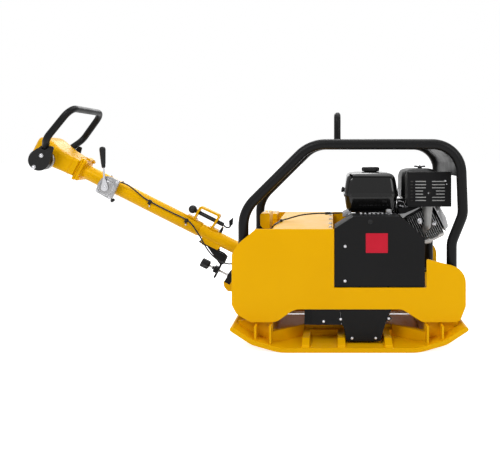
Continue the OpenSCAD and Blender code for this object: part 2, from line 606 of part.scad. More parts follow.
module fuel_tank() color(black) difference() {
  union() {
    intersection() {
      prism_y(rounded([[tank_x + 10, tank_z[0]], [tank_x + tank_l - 14, tank_z[0]], [tank_x + tank_l - 3, 566],
        [tank_x + tank_l, 582], [tank_x + tank_l - 10, tank_z[1] - 10], [tank_mid + 60, tank_z[1]],
        [tank_mid - 60, tank_z[1]], [tank_x + 10, tank_z[1] - 10], [tank_x, 582], [tank_x + 3, 566]],
        [18, 18, 20, 20, 26, 60, 60, 26, 20, 20], 4), tank_y[0], tank_y[1]);
      translate([0, 0, tank_z[0] - 5]) linear_extrude(200) polygon(rounded([[tank_x, tank_y[0]],
        [tank_x + tank_l, tank_y[0]], [tank_x + tank_l, tank_y[1]], [tank_x, tank_y[1]]], 34, 5));
    }
    // Seam where the two halves are joined
    translate([0, 0, 570]) linear_extrude(6) polygon(rounded([[tank_x - 3, tank_y[0] - 3],
      [tank_x + tank_l + 3, tank_y[0] - 3], [tank_x + tank_l + 3, tank_y[1] + 3], [tank_x - 3, tank_y[1] + 3]], 36, 5));
    // Filler neck and the two brackets below
    translate([cap_x, cap_y, 640]) cylinder(r = 27, h = tank_z[1] - 629);
    for (x = [70, 160]) box(x, -60, 478, x + 24, 40, 520);
  }
  translate([cap_x, cap_y, 640]) cylinder(r = 23, h = 60);
}
module fuel_cap() color(black) translate([cap_x, cap_y, 0]) difference() {
  translate([0, 0, tank_z[1] + 1.5]) cylinder(r = 36, h = 19);
  translate([0, 0, tank_z[1]]) cylinder(r = 27 + gap, h = 12);
}

module fan_cowl() color(black) {
  difference() {
    union() {
      cyl_y(crank_x, crank_z, cowl_d / 2, cowl_y[0], cowl_y[1]);
      box(2, cowl_y[0] + 10, 392, crank_x - 40, cowl_y[1] - 6, 446);
      prism_y([[crank_x, 420], [228, 420], [248, 480], [226, 500], [crank_x, 478]], cowl_y[0], cowl_y[1] - 20);
    }
    // Bowl behind the recoil starter
    cyl_y(crank_x, crank_z, 84, cowl_y[0] + 4, cowl_y[1] + 1);
  }
  // Shroud that leads the air over the fins, and its neck
  on_cylinder() {
    prism_y([[132, fin_half + 1], [222, fin_half + 1], [222, 75], [131, 111]], fin_y[0] - 2, fin_y[1]);
    prism_y([[132, fin_half + 1], [157, fin_half + 1], [157, 100], [131, 111]], fin_y[1], cowl_y[0] + 6);
  }
}

recoil_r = 100;
rope_dir = [-0.6, 0.8];
module recoil_starter() color(black) difference() {
  union() {
    cyl_y(crank_x, crank_z, recoil_r, cowl_y[1], cowl_y[1] + 34);
    cyl_y(crank_x, crank_z, 60, cowl_y[1] + 34, cowl_y[1] + 46);
    along_rope(60) cylinder(r = 14, h = 52);
  }
  cyl_y(crank_x, crank_z, recoil_r - 5, cowl_y[1] - 1, cowl_y[1] + 29);
  for (a = [0 : 30 : 330]) translate([crank_x, cowl_y[1] + 20, crank_z]) rotate([0, a, 0])
    translate([68, 0, -7]) cube([18, 30, 14]);
}
module along_rope(d) {
  translate([crank_x + rope_dir[0] * d, cowl_y[1] + 17, crank_z + rope_dir[1] * d])
    rotate([0, atan2(rope_dir[0], rope_dir[1]), 0]) children();
}
module starter_grip() color(black) along_rope(112 + gap) {
  cylinder(r = 8, h = 14);
  translate([0, -34, 20]) rotate([-90, 0, 0]) cylinder(r = 10, h = 68);
}

switch_x = 17;
switch_z = 420;
module engine_switch() color("red") {
  cyl_y(switch_x, switch_z, 12, cowl_y[1] - 6 + gap, cowl_y[1] + 2);
  box(switch_x - 3.5, cowl_y[1] + 2, switch_z - 12, switch_x + 3.5, cowl_y[1] + 9, switch_z + 12);
}

module crankshaft() color(steel) {
  cyl_y(crank_x, crank_z, crank_d / 2, belt_y - 20, engine_y + 40);
  pulley(crank_x, crank_z, clutch_d / 2, crank_d / 2);
  difference() {
    cyl_y(crank_x, crank_z, clutch_d / 2 + 8, belt_y + belt_w / 2 + 5.5, -guard_back - 5);
    cyl_y(crank_x, crank_z, clutch_d / 2 - 4, belt_y + belt_w / 2 + 9, -guard_back - 4);
  }
}

// ---- throttle cable, points chosen by hand ----
cable_r = 3;
// On the drawbar, in the drawbar's frame
cable_bar = [[-649.6, -53, 37], [-634, -47, 39], [-612, -39, 37], [-575, -34.5, 28], [-540, -34, 20], [-505, -34, 17],
  [-455, -34, 16], [-392, -34, 17], [-330, -34, 18], [-296, -38, 9], [-270, -42, -4]];
// Loose at the pivot, and on the body
cable_loop = [from_bar(cable_bar[10] + [0.4, 0, -0.2]), [-627, -46, 391], [-606, -50, 355], [-582, -54, 322], [-556, -58, 298],
  [-528, -63, 283], [-500, -70, 278], [-474, -76, 282], [-450, -80, 292]];
cable_start = [-420, -85, 304.5];
cable_deck_points = [cable_loop[8] + 0.8 * unit(cable_start - cable_loop[8]), cable_start, [-400, -104, 335], [-384, -146, 374],
  [-366, -190, 408], [-350, -214, 427], [-328, -217, 433], [-309, -213, 441], [-294, -195, 459], [-284, -140, 462],
  [-277, -84, 462], [-265, -56, 463], [-250, -50, 466], [-236, -55, 471], [-190, -76, 485],
  [-130, -100, 494], [-82, -112, 496], [-48, -118, 497], [-14, -120, 500]];
module throttle_cable() color(rubber) on_bar() swept(through(cable_bar, 3), cable_r, 8);
module cable_bridge() color(rubber) swept(through(cable_loop, 3), cable_r, 8);
module cable_deck() color(rubber) swept(through(cable_deck_points, 3), cable_r, 8);

// ---- drawbar ----
head_y = 75;
tube_end = -264;                        // lower end of the upper tube
module bar_tube(r_out, r_in, x0, x1) translate([x0, 0, 0]) rotate([0, 90, 0]) difference() {
  cylinder(r = r_out, h = x1 - x0);
  translate([0, 0, -1]) cylinder(r = r_in, h = x1 - x0 + 2);
}
module drawbar_tube() color(yellow) on_bar() {
  bar_tube(upper_r, lower_r, -bar_l + 10, tube_end);
  difference() {
    box(-bar_l, -48, -44, -bar_l + 10, 48, 52);
    translate([-bar_l - 1, 0, 0]) rotate([0, 90, 0]) cylinder(r = 14, h = 20);
  }
}
eye_r = pivot_pin_d / 2 + 17;
module drawbar_eye() color(yellow) on_bar() difference() {
  union() {
    translate([tube_end - 90, 0, 0]) rotate([0, 90, 0]) cylinder(r = lower_r - 0.1, h = -tube_end + 82);
    cyl_y(0, 0, eye_r, -ear_in + 1, ear_in - 1);
  }
  translate([tube_end - 91, 0, 0]) rotate([0, 90, 0]) cylinder(r = lower_r - 5, h = -tube_end + 50);
  cyl_y(0, 0, pivot_pin_d / 2 + run_fit, -60, 60);
}

loop_x = -bar_l - 131;                  // pivot of the direction handle, in the drawbar's frame
loop_z = -16;
loop_shaft_r = 10;
head_outline = [[-bar_l - 202, -26], [-bar_l - 125, -36], [-bar_l - 8, -30], [-bar_l - 8, 43], [-bar_l - 84, 46],
  [-bar_l - 130, 60], [-bar_l - 165, 66], [-bar_l - 202, 61]];
module control_head() color(yellow) on_bar() difference() {
  union() {
    intersection() {
      prism_y(rounded(head_outline, [16, 60, 0, 0, 60, 60, 60, 18], 5), -head_y, head_y);
      translate([0, 0, -100]) linear_extrude(200) polygon(rounded([[-bar_l - 202, -head_y], [-bar_l - 8, -head_y],
        [-bar_l - 8, head_y], [-bar_l - 202, head_y]], [22, 0, 0, 22], 5));
    }
    box(-bar_l - 9, -52, -46, -bar_l, 52, 54);
  }
  prism_y(inset(head_outline, 6), -head_y + 6, head_y - 6);
  cyl_y(loop_x, loop_z, loop_shaft_r + run_fit, -100, 100);
}

saddle_x = [-240, -156];
module saddle() color(yellow) on_bar() {
  difference() {
    prism_y([[saddle_x[0], -18], [saddle_x[0] + 6, -42], [saddle_x[1], -42], [saddle_x[1] + 10, -18]], -22, 22);
    translate([-400, 0, 0]) rotate([0, 90, 0]) cylinder(r = lower_r, h = 400);
  }
  for (x = [saddle_x[0] + 16, saddle_x[1] - 18]) translate([x, 0, -54]) cylinder(r = 7, h = 7, $fn = 6);
}

screw_z = -123;                         // axis of the adjusting screw, in the drawbar's frame
module adjuster_arm() color(black) on_bar() difference() {
  union() {
    box(saddle_x[0] - 3, -22, -47, saddle_x[1] + 6, 22, -42);
    both_y() prism_y([[-206, -47], [-124, -47], [-106, -54], [-104, -84], [-114, -96], [-178, -62]], 9, 16);
    box(-119, -11, -158, -111, 11, -84);
    box(-134, -13, screw_z - 13, -111, 13, screw_z + 13);
  }
  translate([-200, 0, screw_z]) rotate([0, 90, 0]) cylinder(r = 5 + run_fit, h = 150);
}
module adjuster_pad() color(steel) on_bar() translate([stop_x - gap - 6, 0, screw_z]) rotate([0, 90, 0]) {
  cylinder(r = 8, h = 6);
}
module adjuster_screw() color(black) on_bar() {
  translate([-160, 0, screw_z]) rotate([0, 90, 0]) cylinder(r = 5, h = 160 + stop_x - 2 * gap - 6);
  difference() {
    translate([-197, 0, screw_z]) rotate([0, 90, 0]) cylinder(r = 19, h = 40);
    for (a = [0 : 60 : 300]) translate([-198, 0, screw_z]) rotate([a, 0, 0]) translate([0, 0, 22])
      rotate([0, 90, 0]) cylinder(r = 6, h = 42);
  }
}

plunger_z = 63;                         // axis of the lock plunger, in the drawbar's frame
plunger_r = 9;
latch_x = [-312, -218];
module latch_bracket() color(yellow) on_bar() {
  difference() {
    union() {
      difference() {
        prism_y(rounded([[latch_x[0], 20], [latch_x[1], 20], [latch_x[1] + 9, 97], [latch_x[0] + 3, 94]], [0, 0, 12, 12]),
          -15, 15);
        prism_y(rounded([[latch_x[0] + 9, 19], [latch_x[1] - 9, 19], [latch_x[1] - 1, 88], [latch_x[0] + 12, 85]],
          [0, 0, 6, 6]), -16, 16);
      }
      box(latch_x[0] - 26, -15, 20, latch_x[0] + 2, 15, upper_r + 5);
      box(latch_x[1] - 2, -15, 20, latch_x[1] + 26, 15, lower_r + 5);
      // Post that the plunger's end rests over
      translate([-181, 0, 20]) cylinder(r = 4, h = plunger_z - plunger_r - gap - 20);
    }
    translate([-400, 0, 0]) rotate([0, 90, 0]) cylinder(r = upper_r + 0.1, h = 400 + tube_end);
    translate([-400, 0, 0]) rotate([0, 90, 0]) cylinder(r = lower_r, h = 400);
    translate([-400, 0, plunger_z]) rotate([0, 90, 0]) cylinder(r = plunger_r + run_fit, h = 300);
  }
}
module lock_plunger() color(black) on_bar() {
  translate([-326, 0, plunger_z]) rotate([0, 90, 0]) cylinder(r = plunger_r, h = 143);
  translate([-333, 0, plunger_z]) sphere(r = 18);
  swept(through([[-184, 0, plunger_z + 3], [-172, 0, plunger_z - 1], [-160, 0, plunger_z], [-154, 0, plunger_z + 9],
    [-154, 0, plunger_z + 16]], 3), 3, 8);
  prism_y([[-169, 90], [-156, 70], [-150, 83], [-160, 109]], -1.5, 1.5);
}

throttle_x = -692;
throttle_z = -6;
throttle_y = -64;                       // outer face of the throttle housing
module throttle_housing() color(grey) on_bar() {
  difference() {
    union() {
      prism_y(rounded([[throttle_x - 34, -43], [throttle_x + 44, -47], [throttle_x + 41, 43], [throttle_x - 34, 40]],
        [6, 6, 6, 34]), throttle_y, throttle_y + 22);
      prism_y(block(throttle_x - 26, -30, throttle_x + 34, 30), throttle_y + 22, -16);
    }
    translate([-800, 0, 0]) rotate([0, 90, 0]) cylinder(r = upper_r + 0.1, h = 200);
  }
  cyl_y(throttle_x, throttle_z, 22, throttle_y - 6, throttle_y);
  // Boss for the cable's end and the idle stop screw
  cyl_y(throttle_x + 42, -46, 8, throttle_y + 2, throttle_y + 18);
}
module at_lever() on_bar() translate([throttle_x, 0, throttle_z]) rotate([0, -bar_angle, 0]) children();
lever_y = throttle_y - 11;
lever_lean = -3.5;
module throttle_lever() color(steel) at_lever() {
  cyl_y(0, 0, 14, lever_y - 4, throttle_y - 6 - gap);
  translate([1, lever_y, 6]) rotate([0, lever_lean, 0]) cylinder(r = 4.5, h = 160);
}
module throttle_grip() color(black) at_lever() translate([1, lever_y, 6]) rotate([0, lever_lean, 0]) difference() {
  rotate_extrude() polygon(concat([[0, 80], [7.5, 80], [8.5, 84], [12.5, 154]],
    [for (a = [15 : 15 : 90]) [12.5 * cos(a), 158 + 9 * sin(a)]]));
  cylinder(r = 4.5 + run_fit, h = 161);
}

// ---- direction handle ----
module loop_frame() on_bar() translate([loop_x, 0, loop_z]) children();
clamp_mid = head_y + 35;                // the loop's legs run in to the clamps at the sides of the head
loop_low = [-8, clamp_mid, 20];
loop_knee = [-6, clamp_mid, 52];
loop_bend = [3, loop_y + 12, 100];
loop_top = [31, loop_y, loop_h + 7];
function other_side(p) = [p[0], -p[1], p[2]];
module loop_handle() color(black) loop_frame() swept(bent([other_side(loop_low), other_side(loop_knee),
  other_side(loop_bend), other_side(loop_top), loop_top, loop_bend, loop_knee, loop_low], [30, 50, 48, 48, 50, 30], 5),
  loop_d / 2, 16, [1, 0, 0], loop_d / 2 - loop_wall);

clamp_y = [clamp_mid - loop_d / 2, clamp_mid + loop_d / 2];
module loop_clamps() color(black) loop_frame() both_y() difference() {
  union() {
    prism_y(rounded([[-40, -40], [40, -40], [40, 10], [20, 54], [-20, 58], [-40, 10]], [39, 39, 30, 6, 6, 30]),
      clamp_y[0], clamp_y[1]);
    prism_y(rounded([[-44, -44], [44, -44], [44, 14], [31, 76], [15, 73], [6, 48], [-26, 44], [-44, 12]],
      [43, 43, 36, 6, 6, 14, 20, 40]), clamp_y[1], clamp_y[1] + 6);
    for (p = [[1, 21], [-5, -35]]) cyl_y(p[0], p[1], 7, clamp_y[1] + 6, clamp_y[1] + 9);
  }
  // Socket of the leg
  swept(bent([loop_low, loop_knee, loop_bend, loop_top], [30, 50], 5), loop_d / 2 + 0.1, 16, [1, 0, 0]);
}
module loop_shaft() color(grey) loop_frame() {
  cyl_y(0, 0, loop_shaft_r, -clamp_y[0], clamp_y[0]);
  both_y() difference() {
    cyl_y(0, 0, 41, head_y + gap, clamp_y[0]);
    cyl_y(0, 0, loop_shaft_r, 0, 200);
  }
  cyl_y(0, 0, 12, -14, 14);
}

base_plate();
base_ribs();
rubber_mounts();
exciter_housing();
exciter_plates();
exciter_bearings();
lower_frame();
side_plate_near();
side_plate_far();
top_cover();
deck_beam();
frame_rail_near();
frame_rail_far();
front_cross_plate();
lifting_eye();
belt_guard_back();
belt_guard();
lower_belt_guard();
exciter_side_guard();
guard_screws();
drawbar_pin();
stop_block();
crankcase();
engine_cylinder();
valve_cover();
muffler();
muffler_shield();
air_cleaner();
carburettor();
fuel_tank();
fan_cowl();
recoil_starter();
spark_plug();
drive_belt();
cable_deck();
drawbar_tube();
drawbar_eye();
control_head();
saddle();
latch_bracket();
adjuster_arm();
throttle_housing();
throttle_cable();
cable_bridge();
loop_handle();
loop_clamps();
loop_shaft();
throttle_lever();
throttle_grip();
lock_plunger();
adjuster_pad();
adjuster_screw();
crankshaft();
driven_shaft();
idle_shaft();
fuel_cap();
air_filter_nut();
starter_grip();
choke_lever();
engine_switch();
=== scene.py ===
"""Looks of a reversible plate compactor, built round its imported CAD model.

Every piece is modelled in place, in the CAD's own frame: +X away from the drawbar, +Z up, -Y towards the
belt guard. Sizes below are in millimetres, as in the CAD; mesh coordinates are in metres.
"""
import json
import math

import bmesh
import bpy
from mathutils import Matrix, Vector


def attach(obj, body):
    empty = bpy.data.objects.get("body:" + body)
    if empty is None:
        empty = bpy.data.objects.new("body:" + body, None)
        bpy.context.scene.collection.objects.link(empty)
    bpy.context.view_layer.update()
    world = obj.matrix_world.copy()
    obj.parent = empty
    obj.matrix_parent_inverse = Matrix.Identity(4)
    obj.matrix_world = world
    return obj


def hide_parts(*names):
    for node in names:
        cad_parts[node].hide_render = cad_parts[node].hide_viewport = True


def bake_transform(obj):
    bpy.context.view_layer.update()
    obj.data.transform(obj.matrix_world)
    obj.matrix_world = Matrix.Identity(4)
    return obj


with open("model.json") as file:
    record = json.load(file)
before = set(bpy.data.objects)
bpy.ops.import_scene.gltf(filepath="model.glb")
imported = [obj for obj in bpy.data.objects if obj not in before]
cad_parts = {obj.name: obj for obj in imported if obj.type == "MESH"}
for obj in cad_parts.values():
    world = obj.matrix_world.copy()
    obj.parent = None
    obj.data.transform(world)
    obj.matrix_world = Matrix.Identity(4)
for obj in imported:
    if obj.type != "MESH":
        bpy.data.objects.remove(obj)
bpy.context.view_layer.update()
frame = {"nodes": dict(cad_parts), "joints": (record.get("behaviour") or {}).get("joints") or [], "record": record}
nodes = frame["nodes"]
joints = {j["name"]: j for j in frame["joints"]}
scene = bpy.context.scene
MM = 0.001


# ---- camera, light and floor ----
CAMERA_PLACE = (-0.065, -2.368, 0.753)
CAMERA_LENS = 39.24
CAMERA_SHIFT = (-0.1634, -0.1476)
# Strength of the world's light: low in front of the machine, high behind and above it
WORLD_FRONT = 0.12
WORLD_TOP = 0.9
WORLD_LEAN = 0.35
# What lifts the floor's own grey to white where it is seen
FLOOR_GREY = (0.8, 0.8, 0.8, 1)
FLOOR_LIFT = 0.8
FLOOR_HALF = 30
# (name, place, target, size, watts)
LAMPS = [("key", (-1.6, -2.6, 2.9), (-0.1, 0, 0.35), (1.6, 1.2), 56),
         ("fill", (2.0, -2.4, 1.9), (0.1, 0, 0.4), (1.2, 1.6), 26),
         ("top", (0.2, 0.3, 3.2), (0, 0, 0.4), (2.4, 2.0), 36),
         ("back", (-0.6, 2.8, 2.4), (0, 0, 0.4), (2.0, 1.4), 38)]


def set_inputs(node, values):
    for key, value in values.items():
        node.inputs[key].default_value = value


def add_node(tree, kind, values=None, **settings):
    """Shader node with its settings and its inputs' values."""
    node = tree.nodes.new("ShaderNode" + kind)
    for key, value in settings.items():
        setattr(node, key, value)
    set_inputs(node, values or {})
    return node


def link(tree, *pairs):
    for source, target in pairs:
        tree.links.new(source, target)


def make_camera():
    data = bpy.data.cameras.new("camera")
    data.sensor_width = 36
    data.lens = CAMERA_LENS
    data.shift_x, data.shift_y = CAMERA_SHIFT
    camera = bpy.data.objects.new("camera", data)
    camera.location = CAMERA_PLACE
    camera.rotation_euler = (math.radians(90), 0, 0)
    scene.collection.objects.link(camera)
    scene.camera = camera


def area_light(name, place, target, size, watts):
    data = bpy.data.lights.new(name, "AREA")
    data.shape = "RECTANGLE"
    data.size, data.size_y = size
    data.energy = watts
    lamp = bpy.data.objects.new(name, data)
    lamp.location = place
    lamp.rotation_euler = (Vector(target) - Vector(place)).to_track_quat("-Z", "Y").to_euler()
    scene.collection.objects.link(lamp)


def background_rays(tree):
    """1 for the rays that show the plain background: the camera's, and those seen in metal and glass."""
    path = add_node(tree, "LightPath")
    found = path.outputs["Is Camera Ray"]
    for kind in ("Is Glossy Ray", "Is Transmission Ray"):
        either = add_node(tree, "Math", operation="MAXIMUM")
        link(tree, (found, either.inputs[0]), (path.outputs[kind], either.inputs[1]))
        found = either.outputs[0]
    return found


def make_world():
    """Plain white where it is seen; its light comes mostly from behind and above the machine."""
    world = bpy.data.worlds.new("studio")
    scene.world = world
    world.use_nodes = True
    tree = world.node_tree
    tree.nodes.clear()
    out = add_node(tree, "OutputWorld")
    sky = add_node(tree, "Background")
    white = add_node(tree, "Background", {"Color": (1, 1, 1, 1), "Strength": 1.0})
    mix = add_node(tree, "MixShader")
    where = add_node(tree, "TexCoord")
    parts = add_node(tree, "SeparateXYZ")
    ramp = add_node(tree, "MapRange",
                    {"From Min": -0.3, "From Max": 0.9, "To Min": WORLD_FRONT, "To Max": WORLD_TOP})
    join = add_node(tree, "Math", {1: WORLD_LEAN}, operation="MULTIPLY_ADD")
    link(tree, (where.outputs["Generated"], parts.inputs[0]), (parts.outputs["Y"], join.inputs[0]),
         (parts.outputs["Z"], join.inputs[2]), (join.outputs[0], ramp.inputs["Value"]),
         (ramp.outputs["Result"], sky.inputs["Strength"]), (background_rays(tree), mix.inputs[0]),
         (sky.outputs[0], mix.inputs[1]), (white.outputs[0], mix.inputs[2]), (mix.outputs[0], out.inputs[0]))


def make_floor():
    bm = bmesh.new()
    bmesh.ops.create_grid(bm, x_segments=1, y_segments=1, size=FLOOR_HALF)
    mesh = bpy.data.meshes.new("floor")
    bm.to_mesh(mesh)
    bm.free()
    floor = bpy.data.objects.new("floor", mesh)
    scene.collection.objects.link(floor)
    paint = bpy.data.materials.new("floor_paint")
    paint.use_nodes = True
    tree = paint.node_tree
    bsdf = tree.nodes["Principled BSDF"]
    set_inputs(bsdf, {"Base Color": FLOOR_GREY, "Roughness": 0.9, "Specular IOR Level": 0.1})
    glow = add_node(tree, "Emission")
    lift = add_node(tree, "Math", {1: FLOOR_LIFT}, operation="MULTIPLY")
    add = add_node(tree, "AddShader")
    link(tree, (background_rays(tree), lift.inputs[0]), (lift.outputs[0], glow.inputs["Strength"]),
         (bsdf.outputs[0], add.inputs[0]), (glow.outputs[0], add.inputs[1]),
         (add.outputs[0], tree.nodes["Material Output"].inputs[0]))
    mesh.materials.append(paint)


scene.view_settings.view_transform = "Standard"
make_camera()
make_world()
make_floor()
for lamp in LAMPS:
    area_light(*lamp)


# ---- materials ----
def surface(name, dark, light, rough, metal=0.0, coat=0.0, coat_rough=0.1, spec=0.5, patch=6.0, grain=300.0,
            bump=0.1, depth=0.0002, rough_swing=0.06, tint=(1, 1, 1)):
    """Procedural finish: two close tones in soft patches, a fine grain in the bump and a varied roughness."""
    made = bpy.data.materials.new(name)
    made.use_nodes = True
    tree = made.node_tree
    bsdf = tree.nodes["Principled BSDF"]
    set_inputs(bsdf, {"Metallic": metal, "Coat Weight": coat, "Coat Roughness": coat_rough,
                      "Specular IOR Level": spec, "Specular Tint": (*tint, 1)})
    where = add_node(tree, "TexCoord")

    def noise(scale, detail):
        node = add_node(tree, "TexNoise", {"Scale": scale, "Detail": detail})
        link(tree, (where.outputs["Object"], node.inputs["Vector"]))
        return node.outputs["Fac"]

    mix = add_node(tree, "Mix", data_type="RGBA")
    set_inputs(mix, {"A": (*dark, 1), "B": (*light, 1)})
    smoothest, roughest = max(0.02, rough - rough_swing), rough + rough_swing
    swing = add_node(tree, "MapRange",
                     {"From Min": 0.3, "From Max": 0.7, "To Min": smoothest, "To Max": roughest})
    relief = add_node(tree, "Bump", {"Strength": bump, "Distance": depth})
    link(tree, (noise(patch, 5), mix.inputs["Factor"]), (mix.outputs["Result"], bsdf.inputs["Base Color"]),
         (noise(patch * 4, 6), swing.inputs["Value"]), (swing.outputs["Result"], bsdf.inputs["Roughness"]),
         (noise(grain, 3), relief.inputs["Height"]), (relief.outputs["Normal"], bsdf.inputs["Normal"]))
    return made


YELLOW = surface("yellow_paint", (0.72, 0.355, 0.0), (0.81, 0.425, 0.001), 0.36, coat=0.03, coat_rough=0.16,
                 spec=0.4, patch=3.5, grain=420, bump=0.12, tint=(1, 0.72, 0.06))
BLACK = surface("black_paint", (0.003, 0.003, 0.0032), (0.006, 0.006, 0.0064), 0.38, patch=5, grain=900,
                bump=0.35, depth=0.0003, spec=0.13)
SHEET = surface("black_sheet", (0.005, 0.005, 0.0053), (0.009, 0.009, 0.0094), 0.5, patch=5, grain=1400,
                bump=0.5, depth=0.0003, spec=0.1)
ENAMEL = surface("tank_enamel", (0.002, 0.002, 0.0021), (0.004, 0.004, 0.004), 0.16, coat=0.45,
                 coat_rough=0.04, patch=4, grain=30, bump=0.04, depth=0.001, rough_swing=0.03, spec=0.1)
CAST = surface("cast_aluminium", (0.17, 0.17, 0.175), (0.46, 0.46, 0.465), 0.45, metal=0.75, patch=24,
               grain=520, bump=0.35, depth=0.0006, rough_swing=0.1)
# Light aluminium for machined faces; on the fins' front edges it is partly bare aluminium and partly painted
# highlight.
CAST_LIGHT = surface("machined_aluminium_and_fin_highlight", (0.40, 0.40, 0.405), (0.66, 0.66, 0.665), 0.35, metal=0.35,
                     patch=30, grain=520, bump=0.4, depth=0.0004, rough_swing=0.1)
MACHINED = surface("milled_aluminium", (0.55, 0.53, 0.51), (0.78, 0.76, 0.74), 0.42, metal=0.1, patch=26,
                   grain=420, bump=0.4, depth=0.0005)
ZINC = surface("zinc_steel", (0.42, 0.42, 0.44), (0.64, 0.64, 0.66), 0.28, metal=1.0, patch=40, grain=700,
               bump=0.2)
IRON = surface("machined_iron", (0.09, 0.09, 0.10), (0.17, 0.17, 0.18), 0.4, metal=0.9, patch=30, grain=500,
               bump=0.3)
RUBBER = surface("black_rubber", (0.007, 0.007, 0.007), (0.013, 0.013, 0.013), 0.75, patch=12, grain=700,
                 bump=0.5, depth=0.0004, spec=0.15)
PLASTIC = surface("black_plastic", (0.006, 0.006, 0.0064), (0.012, 0.012, 0.0124), 0.38, patch=10, grain=1200,
                  bump=0.4, depth=0.0002, spec=0.2)
STEEL_DARK = surface("muffler_steel", (0.05, 0.048, 0.046), (0.11, 0.10, 0.095), 0.5, metal=0.8, patch=14,
                     grain=400, bump=0.3, rough_swing=0.12)
# Lighter grey than the black sheet: on the shield's louvre lips it is painted highlight; on the exhaust pipe it is
# the pipe's own grey.
LOUVRE_HIGHLIGHT_AND_PIPE_GREY = surface("louvre_highlight_and_pipe_grey", (0.26, 0.26, 0.26), (0.42, 0.42, 0.41), 0.45, metal=0.2, patch=30, grain=800,
                 bump=0.2)
RED = surface("red_plastic", (0.46, 0.003, 0.018), (0.56, 0.006, 0.028), 0.35, patch=20, grain=800, bump=0.1,
              spec=0.2)
SLOT_FINISH = {"yellow_paint": YELLOW, "black_frame": BLACK, "black_sheet": SHEET, "tank_enamel": ENAMEL,
               "aluminium_casting": CAST, "steel_zinc": ZINC, "iron": IRON, "black_rubber": RUBBER,
               "black_plastic": PLASTIC, "red_plastic": RED}
FINISH_SLOT = {finish.name: slot for slot, finish in SLOT_FINISH.items()}
for finish, slot in ((CAST_LIGHT, "aluminium_casting"), (MACHINED, "aluminium_casting"),
                     (STEEL_DARK, "black_sheet"), (LOUVRE_HIGHLIGHT_AND_PIPE_GREY, "black_sheet")):
    FINISH_SLOT[finish.name] = slot


# ---- mesh helpers, in millimetres ----
WORLD = Matrix.Scale(MM, 4)
up_bar = Vector(joints["adjuster_travel"]["axis"])
bar_turn = Matrix((-up_bar, Vector((0, 1, 0)), (-up_bar).cross(Vector((0, 1, 0))))).transposed().to_4x4()
crank = Vector(joints["crankshaft_spin"]["pos_m"])


def at_joint(name, turn=Matrix.Identity(4)):
    """Frame in millimetres with its origin on a joint's axis."""
    return Matrix.Translation(joints[name]["pos_m"]) @ turn @ WORLD


BAR = at_joint("drawbar_hinge", bar_turn)
LOOP = at_joint("direction_hinge", bar_turn)
LEVER = at_joint("throttle_hinge")
CYLINDER = at_joint("crankshaft_spin", Matrix.Rotation(math.radians(-25), 4, "Y"))


def angles(count, start=0.0):
    """Even steps once round a circle."""
    return [start + 2 * math.pi * k / count for k in range(count)]


def corner(p0, p1, p2, radius, steps):
    """Points of the arc that rounds the corner p1 between p0 and p2."""
    p0, p1, p2 = Vector(p0), Vector(p1), Vector(p2)
    d0, d1 = (p1 - p0).normalized(), (p2 - p1).normalized()
    turn = d0.angle(d1, 0)
    if radius <= 0 or turn < 0.01:
        return [p1]
    start = p1 - d0 * radius * math.tan(turn / 2)
    centre = p1 + (d1 - d0).normalized() * radius / math.cos(turn / 2)
    return [centre + (start - centre) * math.cos(turn * k / steps) + d0 * radius * math.sin(turn * k / steps)
            for k in range(steps + 1)]


def as_list(value, count):
    return list(value) if hasattr(value, "__len__") else [value] * count


def rounded(points, radii, steps=6):
    """Closed outline with rounded corners."""
    n, radii = len(points), as_list(radii, len(points))
    return [p for i in range(n)
            for p in corner(points[i - 1], points[i], points[(i + 1) % n], radii[i], steps)]


def bent(points, radii, steps=10):
    """Open route with rounded corners."""
    radii = as_list(radii, len(points) - 2)
    inner = [p for i in range(1, len(points) - 1)
             for p in corner(points[i - 1], points[i], points[i + 1], radii[i - 1], steps)]
    return [Vector(points[0])] + inner + [Vector(points[-1])]


def through(points, steps=6):
    """Smooth curve through points."""
    p = [Vector(q) for q in points]
    made = []
    for i in range(len(p) - 1):
        a, b, c, d = p[max(i - 1, 0)], p[i], p[i + 1], p[min(i + 2, len(p) - 1)]
        for k in range(steps):
            t = k / steps
            made.append(0.5 * (2 * b + (c - a) * t + (2 * a - 5 * b + 4 * c - d) * t * t
                               + (3 * b - a - 3 * c + d) * t * t * t))
    return made + [p[-1]]


def block(x0, z0, x1, z1):
    return [(x0, z0), (x1, z0), (x1, z1), (x0, z1)]


def rounded_block(x0, z0, x1, z1, radius, steps=6):
    return rounded(block(x0, z0, x1, z1), radius, steps)


def soften(thing, width, segments=2, sharp=35):
    """Rounds the edges that are sharper than so many degrees."""
    soft = thing.modifiers.new("edges", "BEVEL")
    soft.width = width * MM
    soft.segments = segments
    soft.limit_method = "ANGLE"
    soft.angle_limit = math.radians(sharp)
    soft.harden_normals = True


